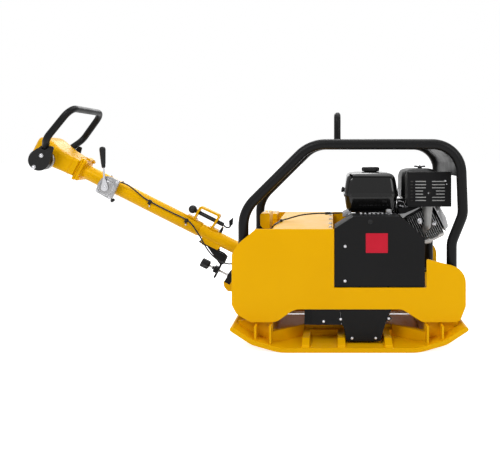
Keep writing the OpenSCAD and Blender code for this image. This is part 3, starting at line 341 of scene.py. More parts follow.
class Shape:
    """A mesh under construction. Its methods take millimetres in the frame 'at' and can be chained."""

    def __init__(self, at=WORLD):
        self.bm = bmesh.new()
        self.at = at

    def skin(self, rings, closed=False):
        """Surface through rings of points, with flat ends unless it is closed on itself."""
        rows = [[self.bm.verts.new(self.at @ Vector(p)) for p in ring] for ring in rings]
        pairs = list(zip(rows, rows[1:])) + ([(rows[-1], rows[0])] if closed else [])
        for a, b in pairs:
            for i in range(len(a)):
                self.bm.faces.new((a[i - 1], a[i], b[i], b[i - 1]))
        if not closed:
            self.bm.faces.new(rows[0][::-1])
            self.bm.faces.new(rows[-1])
        return self

    def prism(self, outline, y0, y1):
        """Outline in X and Z, carried along Y."""
        return self.skin([[(p[0], y, p[1]) for p in outline] for y in (y0, y1)])

    def slab(self, outline, z0, z1):
        """Outline in X and Y, carried along Z."""
        return self.skin([[(p[0], p[1], z) for p in outline] for z in (z0, z1)])

    def box(self, x0, y0, z0, x1, y1, z1):
        return self.prism(block(x0, z0, x1, z1), y0, y1)

    def tube(self, path, radius, sides=24, closed=False, up=(0, 1, 0.02)):
        """Round bar along a path, with one radius or one for each point."""
        path = [Vector(p) for p in path]
        n = len(path)
        radii = as_list(radius, n)
        rings, u = [], Vector(up)
        for i, p in enumerate(path):
            before = path[i - 1] if closed else path[max(i - 1, 0)]
            t = (path[(i + 1) % n] if closed else path[min(i + 1, n - 1)]) - before
            t.normalize()
            u = (u - u.dot(t) * t).normalized()
            v = t.cross(u)
            rings.append([p + radii[i] * (math.cos(a) * u + math.sin(a) * v) for a in angles(sides)])
        return self.skin(rings, closed=closed)

    def lathe(self, profile, centre, axis=(0, 0, 1), sides=32, ring=False):
        """Profile of (radius, height along the axis), turned round the axis."""
        axis = Vector(axis).normalized()
        u = axis.orthogonal().normalized() if abs(axis.z) < 0.999 else Vector((1, 0, 0))
        v = axis.cross(u)
        rings = [[Vector(centre) + axis * h + max(r, 0.02) * (math.cos(a) * u + math.sin(a) * v)
                  for a in angles(sides)] for r, h in profile]
        return self.skin(rings, closed=ring)

    def bolt(self, place, axis, across=13, head=8, washer=True):
        """Hexagon bolt head, with its washer."""
        base = 0
        if washer:
            base = 2
            self.lathe([(across * 0.92, 0), (across * 0.92, 1.6), (across * 0.86, 2)], place, axis, 28)
        r = across / math.sqrt(3)
        return self.lathe([(r, base), (r, base + head - 1.5), (r * 0.86, base + head)], place, axis, 6)

    def cap_screw(self, place, axis, r=6, head=4):
        """Button-head screw with a socket."""
        dome = [(r, 0), (r * 0.97, head * 0.4), (r * 0.8, head * 0.8), (r * 0.5, head),
                (r * 0.42, head * 0.55), (0, head * 0.5)]
        return self.lathe(dome, place, axis, 20)

    def weld(self, path, r=3.5, closed=False):
        """Bead of weld with its ripples."""
        path = [Vector(p) for p in path]
        fine = []
        stretches = list(zip(path, path[1:])) + ([(path[-1], path[0])] if closed else [])
        for a, b in stretches:
            count = max(1, round((b - a).length / 2.2))
            fine += [a.lerp(b, k / count) for k in range(count)]
        if not closed:
            fine.append(path[-1])
        radii = [r * (1 + 0.14 * math.sin(2.1 * k)) for k in range(len(fine))]
        return self.tube(fine, radii, 8, closed=closed)

    def piece(self, name, finish, body, replaces=(), slot=None, edge=0.0, segments=2, sharp=35):
        """Ends the mesh as a named piece that rides on a body; the slot argument is not used."""
        bmesh.ops.recalc_face_normals(self.bm, faces=self.bm.faces)
        mesh = bpy.data.meshes.new(name)
        self.bm.to_mesh(mesh)
        self.bm.free()
        mesh.materials.append(finish)
        mesh.polygons.foreach_set("use_smooth", [True] * len(mesh.polygons))
        made = bpy.data.objects.new(name, mesh)
        scene.collection.objects.link(made)
        if edge > 0:
            soften(made, edge, segments, sharp)
        else:
            mesh.set_sharp_from_angle(angle=math.radians(sharp))
        if body:
            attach(made, body)
        if replaces:
            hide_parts(*replaces)
        return made


# ---- carried-over CAD nodes ----
def finish_node(node, finish):
    """A CAD node keeps its shape and gets its finish and softly rounded edges."""
    node.data.materials.clear()
    node.data.materials.append(finish)
    weld = node.modifiers.new("weld", "WELD")
    weld.merge_threshold = 0.00001
    flat = node.modifiers.new("flat", "DECIMATE")
    flat.decimate_type = "DISSOLVE"
    flat.angle_limit = math.radians(0.5)
    soften(node, 0.8)


for part in frame["record"]["subparts"]:
    if part["node"] in nodes:
        finish_node(nodes[part["node"]], SLOT_FINISH[part["material_slot"]])


# ---- protective frame ----
RAIL_Y = 250
RAIL_R = 20
RAIL_TOP = 780
RAIL_ROUTE = [(-408, 180), (-408, 521), (-148, RAIL_TOP), (435, RAIL_TOP), (445, 508), (401, 399), (401, 180)]
RAIL_BENDS = [140, 140, 112, 90, 90]


def circle_at(x, y, z, r):
    """Level ring of points."""
    return [Vector((x, y, z)) + Vector((r * math.cos(a), r * math.sin(a), 0)) for a in angles(36)]


def make_rails():
    for side, node in ((-1, "frame_rail_near"), (1, "frame_rail_far")):
        path = bent([(x, side * RAIL_Y, z) for x, z in RAIL_ROUTE], RAIL_BENDS, 16)
        Shape().tube(path, RAIL_R, 40).piece(node + ".tube", BLACK, "machine", [node], sharp=50)
        feet = Shape()
        for x in (RAIL_ROUTE[0][0], RAIL_ROUTE[-1][0]):
            feet.slab(rounded([(x - 34, side * RAIL_Y - 30), (x + 34, side * RAIL_Y - 30),
                               (x + 34, side * RAIL_Y + 30), (x - 34, side * RAIL_Y + 30)], 8), 180.2, 188)
            feet.weld(circle_at(x, side * RAIL_Y, 189, RAIL_R + 1), 3.5, closed=True)
        feet.piece(node + ".feet", BLACK, "machine", edge=0.8)
        bolts = Shape()
        for x in (RAIL_ROUTE[0][0], RAIL_ROUTE[-1][0]):
            for dx in (-26, 26):
                bolts.bolt((x + dx, side * RAIL_Y - side * 20, 188), (0, 0, 1), 13, 8)
        bolts.piece(node + ".bolts", ZINC, "machine")


EYE_X = -41
EYE_HALF = 50
EYE_TOP = 907
EYE_R = 14


def make_lifting_eye():
    beam = Shape()
    section = rounded_block(EYE_X - 24, RAIL_TOP - 15, EYE_X + 24, RAIL_TOP + 15, 5, 4)
    beam.prism(section, -RAIL_Y + RAIL_R - 6, RAIL_Y - RAIL_R + 6)
    foot = RAIL_TOP + 15
    beam.tube(bent([(EYE_X, -EYE_HALF, foot - 2), (EYE_X, -EYE_HALF, EYE_TOP), (EYE_X, EYE_HALF, EYE_TOP),
                    (EYE_X, EYE_HALF, foot - 2)], 34, 12), EYE_R, 32, up=(1, 0, 0))
    for y in (-EYE_HALF, EYE_HALF):
        beam.weld(circle_at(EYE_X, y, foot + 1, EYE_R + 1.5), 3.5, closed=True)
    for side in (-1, 1):
        # Weld between the beam and each tube, on the beam's top and bottom edges
        y = side * (RAIL_Y - RAIL_R + 1)
        beam.weld([(EYE_X - 22, y, foot), (EYE_X + 22, y, foot)], 3)
        beam.weld([(EYE_X - 22, y, foot - 30), (EYE_X + 22, y, foot - 30)], 3)
    beam.piece("lifting_eye.bar", BLACK, "machine", ["lifting_eye"], sharp=40)


# ---- belt guard and the guards below ----
GUARD_FACE = -290
LOWER_GUARD_FACE = -288


def make_guard_details():
    sticker = Shape()
    sticker.prism(rounded_block(65, 365, 149, 440, 2), GUARD_FACE - 0.5, GUARD_FACE + 0.2)
    sticker.piece("guard_sticker", RED, "machine", edge=0.15)
    mark = Shape()
    mark.lathe([(9, 0), (8.6, 0.9), (6.5, 1.0), (5.5, 0.4), (0, 0.2)], (82, GUARD_FACE, 484), (0, -1, 0), 32)
    mark.piece("guard_plug", PLASTIC, "machine")
    screws = Shape()
    for z in (258, 390):
        screws.lathe([(5.6, 0), (5.6, 0.8), (5.2, 1.2)], (-14, GUARD_FACE, z), (0, -1, 0), 24)
        screws.cap_screw((-14, GUARD_FACE - 1.2, z), (0, -1, 0), 4.6, 3)
    for x, z in ((-31, 112), (153, 114), (13, 39), (103, 39), (-96, 103)):
        screws.lathe([(5.2, 0), (5.2, 0.8), (4.8, 1.2)], (x, LOWER_GUARD_FACE, z), (0, -1, 0), 24)
        screws.cap_screw((x, LOWER_GUARD_FACE - 1.2, z), (0, -1, 0), 4.4, 2.8)
    screws.piece("guard_screw_set", ZINC, "machine", ["guard_screws"])
    # Row of flange bolts along the guard's top, on its back plate
    row = Shape()
    for k in range(8):
        row.bolt((52 + 17 * k, -200, 503.2), (0, 0, 1), 7, 3)
    row.piece("guard_top_bolts", ZINC, "machine")
    knob = Shape()
    knob.lathe([(6, 0), (6, 8), (11, 10), (12, 16), (11, 22), (7, 24), (0, 24.5)], (160, -215, 500),
               (0, 0, 1), 28)
    knob.piece("guard_knob", CAST, "machine")


# ---- base, exciter and lower frame ----
PLATE_TOP = 18
MOUNT_X = 324
PIN_X = -400
PIN_Z = 294


def make_base_details():
    """Welds along the ribs and boxes, bolts of the exciter and the mounts, rims of the mounts, guard ribs."""
    beads = Shape()
    ground = PLATE_TOP + 1
    for side in (-1, 1):
        for x in (-163, -28, 150):
            for dx in (-15, 15):
                beads.weld([(x + dx, side * 200, ground), (x + dx, side * 320, ground)], 3.2)
            beads.weld([(x - 14, side * 331, ground), (x + 14, side * 331, ground)], 3.2)
    for end in (-1, 1):
        for x, z in ((291, 29), (357, 46)):
            beads.weld([(end * x, -282, z), (end * x, 282, z)], 3.2)
        for side in (-1, 1):
            for x in (293, 355):
                beads.weld([(end * x, side * 285, 50), (end * x, side * 285, 108)], 2.8)
    beads.piece("base_ribs.welds", YELLOW, "machine")
    bolts = Shape()
    for side in (-1, 1):
        for x in (-58, -19, 20, 59, 98):
            for z in (70, 136):
                bolts.bolt((x, side * 178, z), (0, side, 0), 10, 6)
        for x in (-155, -105, 150):
            bolts.bolt((x, side * 150, 56), (0, 0, 1), 16, 10)
        for x in (-MOUNT_X, MOUNT_X):
            for dx in (-20, 20):
                bolts.bolt((x + dx, side * 240, 118), (0, 0, 1), 12, 7)
    bolts.piece("exciter_bolts", ZINC, "machine")
    plates = Shape()
    for x in (-MOUNT_X, MOUNT_X):
        for y in (-200, 200):
            for z0, z1 in ((118.2, 123), (167, 171.8)):
                plates.lathe([(33, z0), (33, z1), (31, z1 + 0.01), (31, z0 - 0.01)], (x, y, 0),
                             sides=40, ring=True)
    plates.piece("rubber_mounts.cups", ZINC, "machine")
    ribs = Shape()
    for x in (-166, -156, -146):
        ribs.box(x, -290.5, 94, x + 3.4, -287.8, 168)
    ribs.piece("exciter_side_guard.ribs", SHEET, "machine", edge=0.6)


def make_frame_details():
    """Weld beads, the pivot pin's heads and split pins, and the screws of the top cover and deck beam."""
    beads = Shape()
    for side in (-1, 1):
        for y in (36.5, 51.5):
            beads.weld([(-438, side * y, 181), (-358, side * y, 181)], 3)
        beads.weld([(-447, side * 26, 168), (-447, side * 26, 232)], 3)
    beads.piece("lower_frame.welds", YELLOW, "machine")
    pins = Shape()
    for side in (-1, 1):
        pins.lathe([(14, 0), (14, 2.4), (12.4, 3.4), (12, 2.6), (8, 2.4), (7, 1), (0, 1)],
                   (PIN_X, side * 56, PIN_Z), (0, side, 0), 40)
        wire = ((0, -14), (0, 14), (4, 19), (9, 15))
        pins.tube([(PIN_X + dx, side * 58, PIN_Z + dz) for dx, dz in wire], 1.6, 10)
    pins.piece("drawbar_pin.heads", ZINC, "machine", edge=0.4)
    cover = Shape()
    for y in (-250, -150, 0, 150, 250):
        cover.bolt((-70, y, 457), (0, 0, 1), 9, 4)
    cover.piece("top_cover.bolts", ZINC, "machine")
    blocks = Shape()
    for side, top in ((-1, 506), (1, 471)):
        for x in (-338, -322):
            blocks.cap_screw((x, side * 150, top), (0, 0, 1), 5, 3.5)
        blocks.weld([(-350, side * 95, 424), (-350, side * 200, 424)], 2.6)
    blocks.piece("deck_beam.screws", ZINC, "machine")
    plate = Shape()
    for side in (-1, 1):
        plate.weld([(x, side * 229, z) for x, z in ((382, 768), (424, 726), (434, 704), (434, 655))], 3)
    plate.piece("front_cross_plate.welds", BLACK, "machine")


# ---- far side of the engine ----
# Way that the starter's rope is pulled
PULL = Vector((-0.6, 0, 0.8))


def make_starter():
    """Recoil starter with its slots and screws, the rope to its grip, and the fan cowl's fittings."""
    x, y, z = crank.x * 1000, 150, crank.z * 1000
    rings = Shape()
    rings.lathe([(100, 28), (101.4, 30), (100, 34), (93, 36), (64, 36), (61, 38), (60, 45), (57, 46),
                 (48, 46), (46, 44), (40, 43), (38, 46), (12, 47), (0, 47)], (x, y, z), (0, 1, 0), 64)
    rings.piece("recoil_starter.dome", SHEET, "machine", sharp=50)
    fins = Shape()
    blade = ((-2.2, 33), (2.2, 33), (1.4, 39), (-1.4, 39))
    for a in angles(24, 0.13):
        u, v = Vector((math.cos(a), 0, math.sin(a))), Vector((-math.sin(a), 0, math.cos(a)))
        fins.skin([[Vector((x, y + h, z)) + u * r + v * w for w, h in blade] for r in (67, 90)])
    fins.piece("recoil_starter.fins", SHEET, "machine", edge=0.5)
    screws = Shape()
    for a in angles(4, math.pi / 4):
        screws.bolt((x + 108 * math.cos(a), y, z + 108 * math.sin(a)), (0, 1, 0), 10, 6)
    screws.cap_screw((x, y + 46, z), (0, 1, 0), 9, 5)
    screws.piece("recoil_starter.screws", ZINC, "machine")
    guide = Vector((x, y + 17, z)) + PULL * 112
    neck = Shape()
    neck.lathe([(4, -4), (14, -4), (14.6, -2), (14.6, 1), (12, 3), (7, 4), (4, 3)],
               guide - PULL * 4, PULL, 32, ring=True)
    neck.piece("recoil_starter.guide", PLASTIC, "machine")
    rope = Shape()
    count = 60
    rope.tube([guide + PULL * (16 * k / count - 6) for k in range(count + 1)],
              [2.4 + 0.25 * math.sin(2.2 * k) for k in range(count + 1)], 14)
    cord = rope.piece("starter_rope", RUBBER, None)
    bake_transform(cord)


# ---- engine ----
def levels(box, rows, steps=8):
    """Level rings of a box with rounded corners; a row is (height, inset, corner radius)."""
    x0, y0, x1, y1 = box
    return [[(p[0], p[1], z) for p in rounded_block(x0 + d, y0 + d, x1 - d, y1 - d, r, steps)]
            for z, d, r in rows]


TANK = (-13, -150, 207, 108)
CAP = Vector(joints["fuel_cap_turn"]["pos_m"]) * 1000


def make_tank():
    lower = [(500, 30, 20), (501, 22, 24), (505, 14, 28), (512, 10, 30), (525, 7, 30), (545, 4, 30),
             (562, 2, 30), (568, 1, 30)]
    upper = [(576, 0, 30), (590, 1.5, 30), (606, 3.5, 30), (620, 5.5, 29), (634, 8, 28), (646, 11.5, 27),
             (653, 15.5, 27), (658.5, 22, 27), (662, 33, 27), (664, 50, 25), (665, 75, 20)]
    body = Shape()
    body.skin(levels(TANK, lower + upper, 10))
    body.piece("fuel_tank.shell", ENAMEL, "machine", ["fuel_tank"], sharp=60)
    seam = Shape()
    lip = [(566.5, 2), (567, -2.4), (568.5, -3), (574.5, -3), (576, -2.4), (576.5, 2)]
    seam.skin(levels(TANK, [(z, d, 36) for z, d in lip], 10))
    seam.piece("fuel_tank.seam", ENAMEL, "machine", sharp=60)
    feet = Shape()
    for x in (70, 160):
        feet.box(x, -60, 478, x + 24, 40, 510)
    for x in (82, 172):
        feet.bolt((x, -52, 480), (0, -1, 0), 12, 6)
    feet.piece("fuel_tank.feet", SHEET, "machine", edge=1)
    boss = Shape()
    boss.lathe([(9, 0), (9, 6), (12, 8), (12, 14), (7, 16)], (TANK[0] + 4, -70, 590), (-1, 0, 0.2), 24)
    boss.piece("fuel_tank.boss", ENAMEL, "machine")
    neck = Shape()
    neck.lathe([(34, 660), (33, 663), (28, 666), (27, 676), (24, 676), (23, 660)], (CAP.x, CAP.y, 0),
               sides=40, ring=True)
    neck.piece("fuel_tank.neck", ENAMEL, "machine")


def make_tank_cap():
    cap = Shape()
    cap.lathe([(28, 668), (35, 667), (36, 668), (36, 681), (34.5, 684), (31, 685.5), (24, 685), (10, 685),
               (0, 685)], (CAP.x, CAP.y, 0), sides=48)
    # Grip ribs round the edge
    for a in angles(18):
        cap.lathe([(2.2, 669), (2.2, 681), (1.2, 683)],
                  (CAP.x + 36 * math.cos(a), CAP.y + 36 * math.sin(a), 0), sides=8)
    cap.piece("fuel_cap.grip", PLASTIC, "tank_cap", ["fuel_cap"], sharp=40)


FILTER = (237, -18, 400, 150)


def make_air_cleaner():
    x0, y0, x1 = FILTER[:3]
    cover = Shape()
    cover.skin(levels(FILTER, [(560, 4, 22), (562, 1, 22), (568, 0, 22), (640, 1, 23), (656, 4, 26),
                               (667, 10, 30), (673, 18, 34), (676, 30, 38), (677, 50, 30)]))
    cover.piece("air_cleaner.cover", PLASTIC, "machine", ["air_cleaner"], sharp=50)
    base = Shape()
    base.skin(levels(FILTER, [(540, 22, 16), (541, 12, 18), (548, 6, 20), (556, 2, 22), (558, 0, 22),
                              (560, 2, 22)]))
    base.piece("air_cleaner.base", PLASTIC, "machine", sharp=50)
    clips = Shape()
    for y in (10, 60, 110):
        clips.box(x1 - 1, y, 548, x1 + 3, y + 16, 584)
        clips.box(x0 - 3, y, 548, x0 + 1, y + 16, 584)
    clips.piece("air_cleaner.clips", ZINC, "machine", edge=0.8)
    ribs = Shape()
    for k in range(5):
        ribs.box(x0 + 30 + 24 * k, y0 - 2, 580, x0 + 36 + 24 * k, y0 + 3, 634)
    ribs.piece("air_cleaner.ribs", PLASTIC, "machine", edge=1)
    stud = Shape()
    stud.lathe([(3, 670), (3, 692), (2, 693)], (NUT.x, NUT.y, 0), sides=20)
    stud.lathe([(14, 676), (14, 677.2), (12, 677.25)], (NUT.x, NUT.y, 0), sides=28)
    stud.piece("air_cleaner.stud", ZINC, "machine")


NUT = Vector(joints["filter_nut_turn"]["pos_m"]) * 1000


def make_wing_nut():
    nut = Shape()
    nut.lathe([(9.5, 677.4), (9.5, 683), (8, 687), (4.5, 687.6), (3.2, 687.6), (3.2, 677.4)],
              (NUT.x, NUT.y, 0), sides=28, ring=True)
    for side in (-1, 1):
        wing = ((6, 682.5), (14, 682), (25, 683), (25.3, 687), (23, 689.4), (14, 689), (6, 687))
        nut.prism([(NUT.x + side * x, z) for x, z in wing], NUT.y - 4, NUT.y + 4)
    nut.piece("air_filter_nut.wings", PLASTIC, "filter_nut", ["air_filter_nut"], edge=0.7)


SHIELD_Y = -168
SLOT_ROWS = [553.8 + 12.8 * k for k in range(7)]
PIPE_LOW = 441
FIN_COUNT = 14
BARREL_FINS = 5
FIRST_FIN = 150
FIN_PITCH = 8.6


def make_muffler():
    body = Shape()
    body.skin([[(p[0], y, p[1]) for p in rounded_block(247 + d, 535 + d, 412 - d, 663 - d, 16)] for y, d in
               ((-160, 9), (-158, 4), (-154, 0), (-104, 0), (-54, 0), (-50, 4), (-48, 9))])
    for y in (-130, -104, -78):
        path = [(p[0], y, p[1]) for p in rounded_block(246.6, 534.6, 412.4, 663.4, 16)]
        body.tube(path, 1.8, 8, closed=True)
    body.piece("muffler.body", STEEL_DARK, "machine", ["muffler"], sharp=50)
    pipe = Shape()
    route = bent([(329, -132, 536), (329, -132, PIPE_LOW), (329, -112, PIPE_LOW)], 13, 10)
    width = [12.5 + 8.5 * (max(p.z, PIPE_LOW) - PIPE_LOW) / 95 for p in route]
    pipe.tube(route, width, 32, up=(1, 0, 0))
    pipe.piece("muffler.pipe", LOUVRE_HIGHLIGHT_AND_PIPE_GREY, "machine", sharp=50)
    flange = Shape(CYLINDER)
    flange.prism(rounded([(190, -32), (244, -18), (248, -6), (240, 8), (194, 4), (184, -18)], 8), -119, -111)
    flange.piece("muffler.flange", STEEL_DARK, "machine", edge=1)
    nuts = Shape()
    for x, z in ((300, 464), (355, 454)):
        nuts.lathe([(4, 0), (4, 16), (3, 17)], (x, -112, z), (0, -1, 0), 16)
        nuts.bolt((x, -113, z), (0, -1, 0), 13, 9)
    nuts.piece("muffler.nuts", ZINC, "machine")


def make_muffler_shield():
    lips = Shape()
    for i, z in enumerate(SLOT_ROWS):
        # The two middle rows leave room for the shield's screw
        inner = 12 if i in (2, 3) else 0
        for a, b in ((273, 316 - inner), (340 + 1.3 * inner, 392)):
            # Louvre lip that hangs from the slot's upper edge and leans inwards; drawn in lighter grey than the
            # shield's black sheet, as painted highlight on the lit lip
            lips.skin([[(x, SHIELD_Y + 0.3, z + 2.2), (x, SHIELD_Y + 1.5, z + 2.6),
                        (x, SHIELD_Y + 3.2, z - 2.2), (x, SHIELD_Y + 2, z - 2.4)] for x in (a, b)])
    lips.piece("muffler_shield.louvres", LOUVRE_HIGHLIGHT_AND_PIPE_GREY, "machine", edge=0.3)
    screws = Shape()
    screws.cap_screw((326, SHIELD_Y + 8, 583), (0, -1, 0), 3.6, 8)
    for x, z, r in ((394, 633, 4), (399, 620, 2.6)):
        screws.cap_screw((x, SHIELD_Y, z), (0, -1, 0), r, 2)
    screws.piece("muffler_shield.screws", ZINC, "machine")
    dish = Shape()
    dish.lathe([(7, -1), (12.5, -1), (12.5, 0.3), (11.5, 0.9), (8.5, 0.4), (7, -0.6)], (328, SHIELD_Y, 583),
               (0, -1, 0), 40, ring=True)
    dish.piece("muffler_shield.dish", BLACK, "machine", slot="black_sheet", sharp=50)


def make_cylinder_details():
    cover = Shape(CYLINDER)
    edge = rounded([(272, -56), (291, -52), (299, -8), (294, 40), (272, 49)], [2, 16, 30, 16, 2], 8)
    small = rounded([(272, -52), (289, -48), (295, -8), (291, 36), (272, 45)], [2, 16, 30, 16, 2], 8)
    cover.skin([[(p[0], y, p[1]) for p in (small if end else edge)] for y, end in
                ((-104, True), (-101, False), (17, False), (20, True))])
    cover.piece("valve_cover.shell", CAST, "machine", ["valve_cover"], sharp=45)
    rim = Shape(CYLINDER)
    rim.prism(rounded([(271, -60), (274.5, -60), (274.5, 52), (268, 60), (258, 61), (258, 58), (266, 56),
                       (271, 49)], 2), -113, 28)
    rim.piece("valve_cover.rim", CAST_LIGHT, "machine", edge=1)
    bolts = Shape(CYLINDER)
    for y, z in ((-107, 30), (25, -47), (25, 42)):
        bolts.bolt((274.5, y, z), (1, 0, 0), 8, 5)
    bolts.piece("valve_cover.bolts", ZINC, "machine")
    # The cylinder is aluminium casting drawn black: the fins' black is partly the block's dark finish and partly
    # painted shade, and the black core between the fins is painted shade deep in the gaps.
    core = Shape(CYLINDER)
    core.prism([(98, 46), (80, -46), (271, -46), (271, 46)], -96, 16)
    core.piece("cylinder.core", BLACK, "machine", ["engine_cylinder"], slot="aluminium_casting", edge=2)
    fins = Shape(CYLINDER)
    edges = Shape(CYLINDER)
    for k in range(FIN_COUNT):
        x = FIRST_FIN + FIN_PITCH * k
        low = -60 - 3 * (k % 2)
        fins.prism(rounded_block(x, low, x + 2.6, 60, 0.6), -107, 30)
        # Bright strip on the front edge of each fin, narrower on the barrel than on the head: partly bare machined
        # aluminium, partly painted highlight on the lit fin fronts
        highlight_width = 2.2 if k >= BARREL_FINS else 1.2
        edges.prism(block(x + 0.4, low + 1, x + highlight_width, 59), -110, -106)
    fins.piece("cylinder.fins", BLACK, "machine", slot="aluminium_casting", edge=0.4)
    edges.piece("cylinder.fin_edge_highlights", CAST_LIGHT, "machine", edge=0.3)
    deflector = Shape(CYLINDER)
    deflector.prism([(127, 86), (134, 64), (150, 68), (216, 73), (217, 77), (150, 79)], -115, -111)
    deflector.piece("cylinder.deflector", CAST, "machine", edge=0.6)
    lip = Shape(CYLINDER)
    lip.prism(rounded([(171, -60), (174, -73), (196, -79), (204, -75), (258, -74), (264, -68), (262, -62),
                       (240, -62), (236, -66), (206, -66), (200, -60.5)], 2.5), -108, 26)
    lip.piece("cylinder.lip", MACHINED, "machine", edge=2)


def make_linkage():
    """Intake plate, governor lever with its spring, and the cable's end, between the tank and the muffler."""
    # The black intake plate and elbow back the linkage: partly the intake's own black, partly painted shade in the
    # recess between the tank and the muffler.
    plate = Shape()
    plate.prism(rounded([(208, 482), (258, 482), (258, 529), (243, 534), (243, 556), (208, 556)], 4),
                -92, -86)
    plate.tube(bent([(228, -88, 500), (228, -60, 500), (262, -30, 500), (270, 46, 510)], 20, 8), 13, 24)
    plate.piece("intake.elbow", SHEET, "machine", edge=0.8)
    rods = Shape()
    rods.tube(bent([(212, -97, 549), (234, -99, 541), (247, -99, 514), (230, -97, 492), (252, -97, 486)],
                   6, 5), 1.9, 12)
    rods.lathe([(8, 0), (8, 3), (5, 4), (5, 7), (0, 7)], (236, -92, 513), (0, -1, 0), 24)
    turns = [(214 + 0.42 * k, -100 + 3.2 * math.cos(0.9 * k), 527 - 0.1 * k + 3.2 * math.sin(0.9 * k))
             for k in range(58)]
    rods.tube(turns, 0.8, 8, up=(0.1, 1, 0.2))
    for x, z in ((216, 490), (216, 545), (250, 522)):
        rods.cap_screw((x, -92, z), (0, -1, 0), 4, 3)
    rods.piece("governor_linkage", ZINC, "machine")
    bracket = Shape()
    bracket.prism(rounded([(-20, 484), (16, 484), (16, 510), (2, 516), (-20, 508)], 3), -128, -124)
    bracket.bolt((8, -128, 492), (0, -1, 0), 8, 4)
    bracket.lathe([(4.6, 0), (4.6, 6), (3.4, 7), (3.4, 16)], (-20, -119, 499), (1, -0.05, 0.1), 16)
    bracket.piece("cable_end.bracket", ZINC, "machine", edge=0.5)


# ---- drawbar ----
BAR_L = 835
UPPER_R = 31
LOWER_R = 28
SLEEVE_END = -264


def make_drawbar_tubes():
    upper = Shape(BAR)
    upper.lathe([(LOWER_R, 825), (UPPER_R, 825), (UPPER_R, -SLEEVE_END + 1.5), (UPPER_R - 1.5, -SLEEVE_END),
                 (LOWER_R, -SLEEVE_END)], (0, 0, 0), (-1, 0, 0), 56, ring=True)
    upper.skin([[(x, p[0], p[1]) for p in rounded_block(-48, -44, 48, 52, 8)] for x in (-BAR_L, -BAR_L + 10)])
    upper.weld([(-BAR_L + 11, 33 * math.cos(a), 33 * math.sin(a)) for a in angles(36)], 3.5, closed=True)
    upper.piece("drawbar_tube.shell", YELLOW, "drawbar", ["drawbar_tube"], sharp=50)
    bolts = Shape(BAR)
    for y in (-38, 38):
        for z in (-34, 42):
            bolts.bolt((-BAR_L + 10, y, z), (1, 0, 0), 11, 6)
    bolts.piece("drawbar_flange.bolts", YELLOW, "drawbar")
    lower = Shape(BAR)
    lower.lathe([(LOWER_R, 354), (LOWER_R, 20)], (0, 0, 0), (-1, 0, 0), 56)
    lower.lathe([(29.3, -37), (29.3, 37)], (0, 0, 0), (0, 1, 0), 48)
    lower.weld([(-28 - 3 * abs(math.sin(a)), 28.6 * math.cos(a), 28.6 * math.sin(a)) for a in angles(36)],
               3, closed=True)
    lower.piece("drawbar_eye.shell", YELLOW, "drawbar", ["drawbar_eye"], sharp=50)
    fitting = Shape(BAR)
    fitting.prism(rounded_block(-BAR_L - 2, 50, -BAR_L + 17, 58, 3), -16, 16)
    fitting.piece("drawbar_top_tab", YELLOW, "drawbar", edge=0.8)


def make_control_head():
    """Boxed casting at the top of the drawbar: a lofted shell that narrows to its flange."""
    x1 = -BAR_L - 9
    # (place along the drawbar, bottom, top, half width, corner radius)
    stations = [(-1037, -16, 51, 58, 14), (-1035, -20, 56, 66, 16), (-1027, -24, 60.5, 72, 18),
                (-1012, -25.5, 65, 75, 18), (-1000, -27, 66, 75, 18), (-980, -30, 63, 75, 18),
                (-960, -34, 57, 75, 18), (-945, -35, 52.5, 75, 18), (-920, -33.5, 47.5, 75, 18),
                (-890, -31.2, 45.2, 74, 17), (-866, -30.6, 44, 70, 15), (-852, -30.3, 43.4, 66, 13),
                (x1, -30, 43, 64, 12)]
    shell = Shape(BAR)
    shell.skin([[(x, p[0], p[1]) for p in rounded_block(-y, z0, y, z1, r, 6)]
                for x, z0, z1, y, r in stations])
    shell.skin([[(x, p[0], p[1]) for p in rounded_block(-52, -46, 52, 54, 8)] for x in (x1, -BAR_L)])
    shell.piece("control_head.shell", YELLOW, "drawbar", ["control_head"], edge=1.0, sharp=40)
    seam = Shape(BAR)
    seam.tube([(-866, p[0], p[1]) for p in rounded_block(-70.4, -31, 70.4, 44.4, 15, 6)], 1.2, 8, closed=True)
    seam.piece("control_head.seam", YELLOW, "drawbar")


def make_saddle_and_latch():
    # Sleeve on the post below the plunger's end
    post = Shape(BAR)
    post.lathe([(6.2, 0), (6.2, 17), (5, 18), (5, 25)], (-181, 0, LOWER_R - 0.5), (0, 0, 1), 20)
    post.piece("latch_post", PLASTIC, "drawbar")
    welds = Shape(BAR)
    for x, z in ((-338, UPPER_R + 5), (-192, LOWER_R + 5)):
        welds.weld([(x, -14, z - 3), (x, 14, z - 3)], 2.6)
    for x, r in ((-312, UPPER_R), (-218, LOWER_R)):
        for y in (-16, 16):
            welds.weld([(x - 18, y, r + 0.5), (x + 18, y, r + 0.5)], 2.4)
    welds.piece("latch_bracket.welds", YELLOW, "drawbar")
    bolts = Shape(BAR)
    for x in (-224, -174):
        bolts.bolt((x, 0, -42), (0, 0, -1), 12, 7)
    bolts.piece("saddle.bolts", ZINC, "drawbar")


PLUNGER_Z = 63


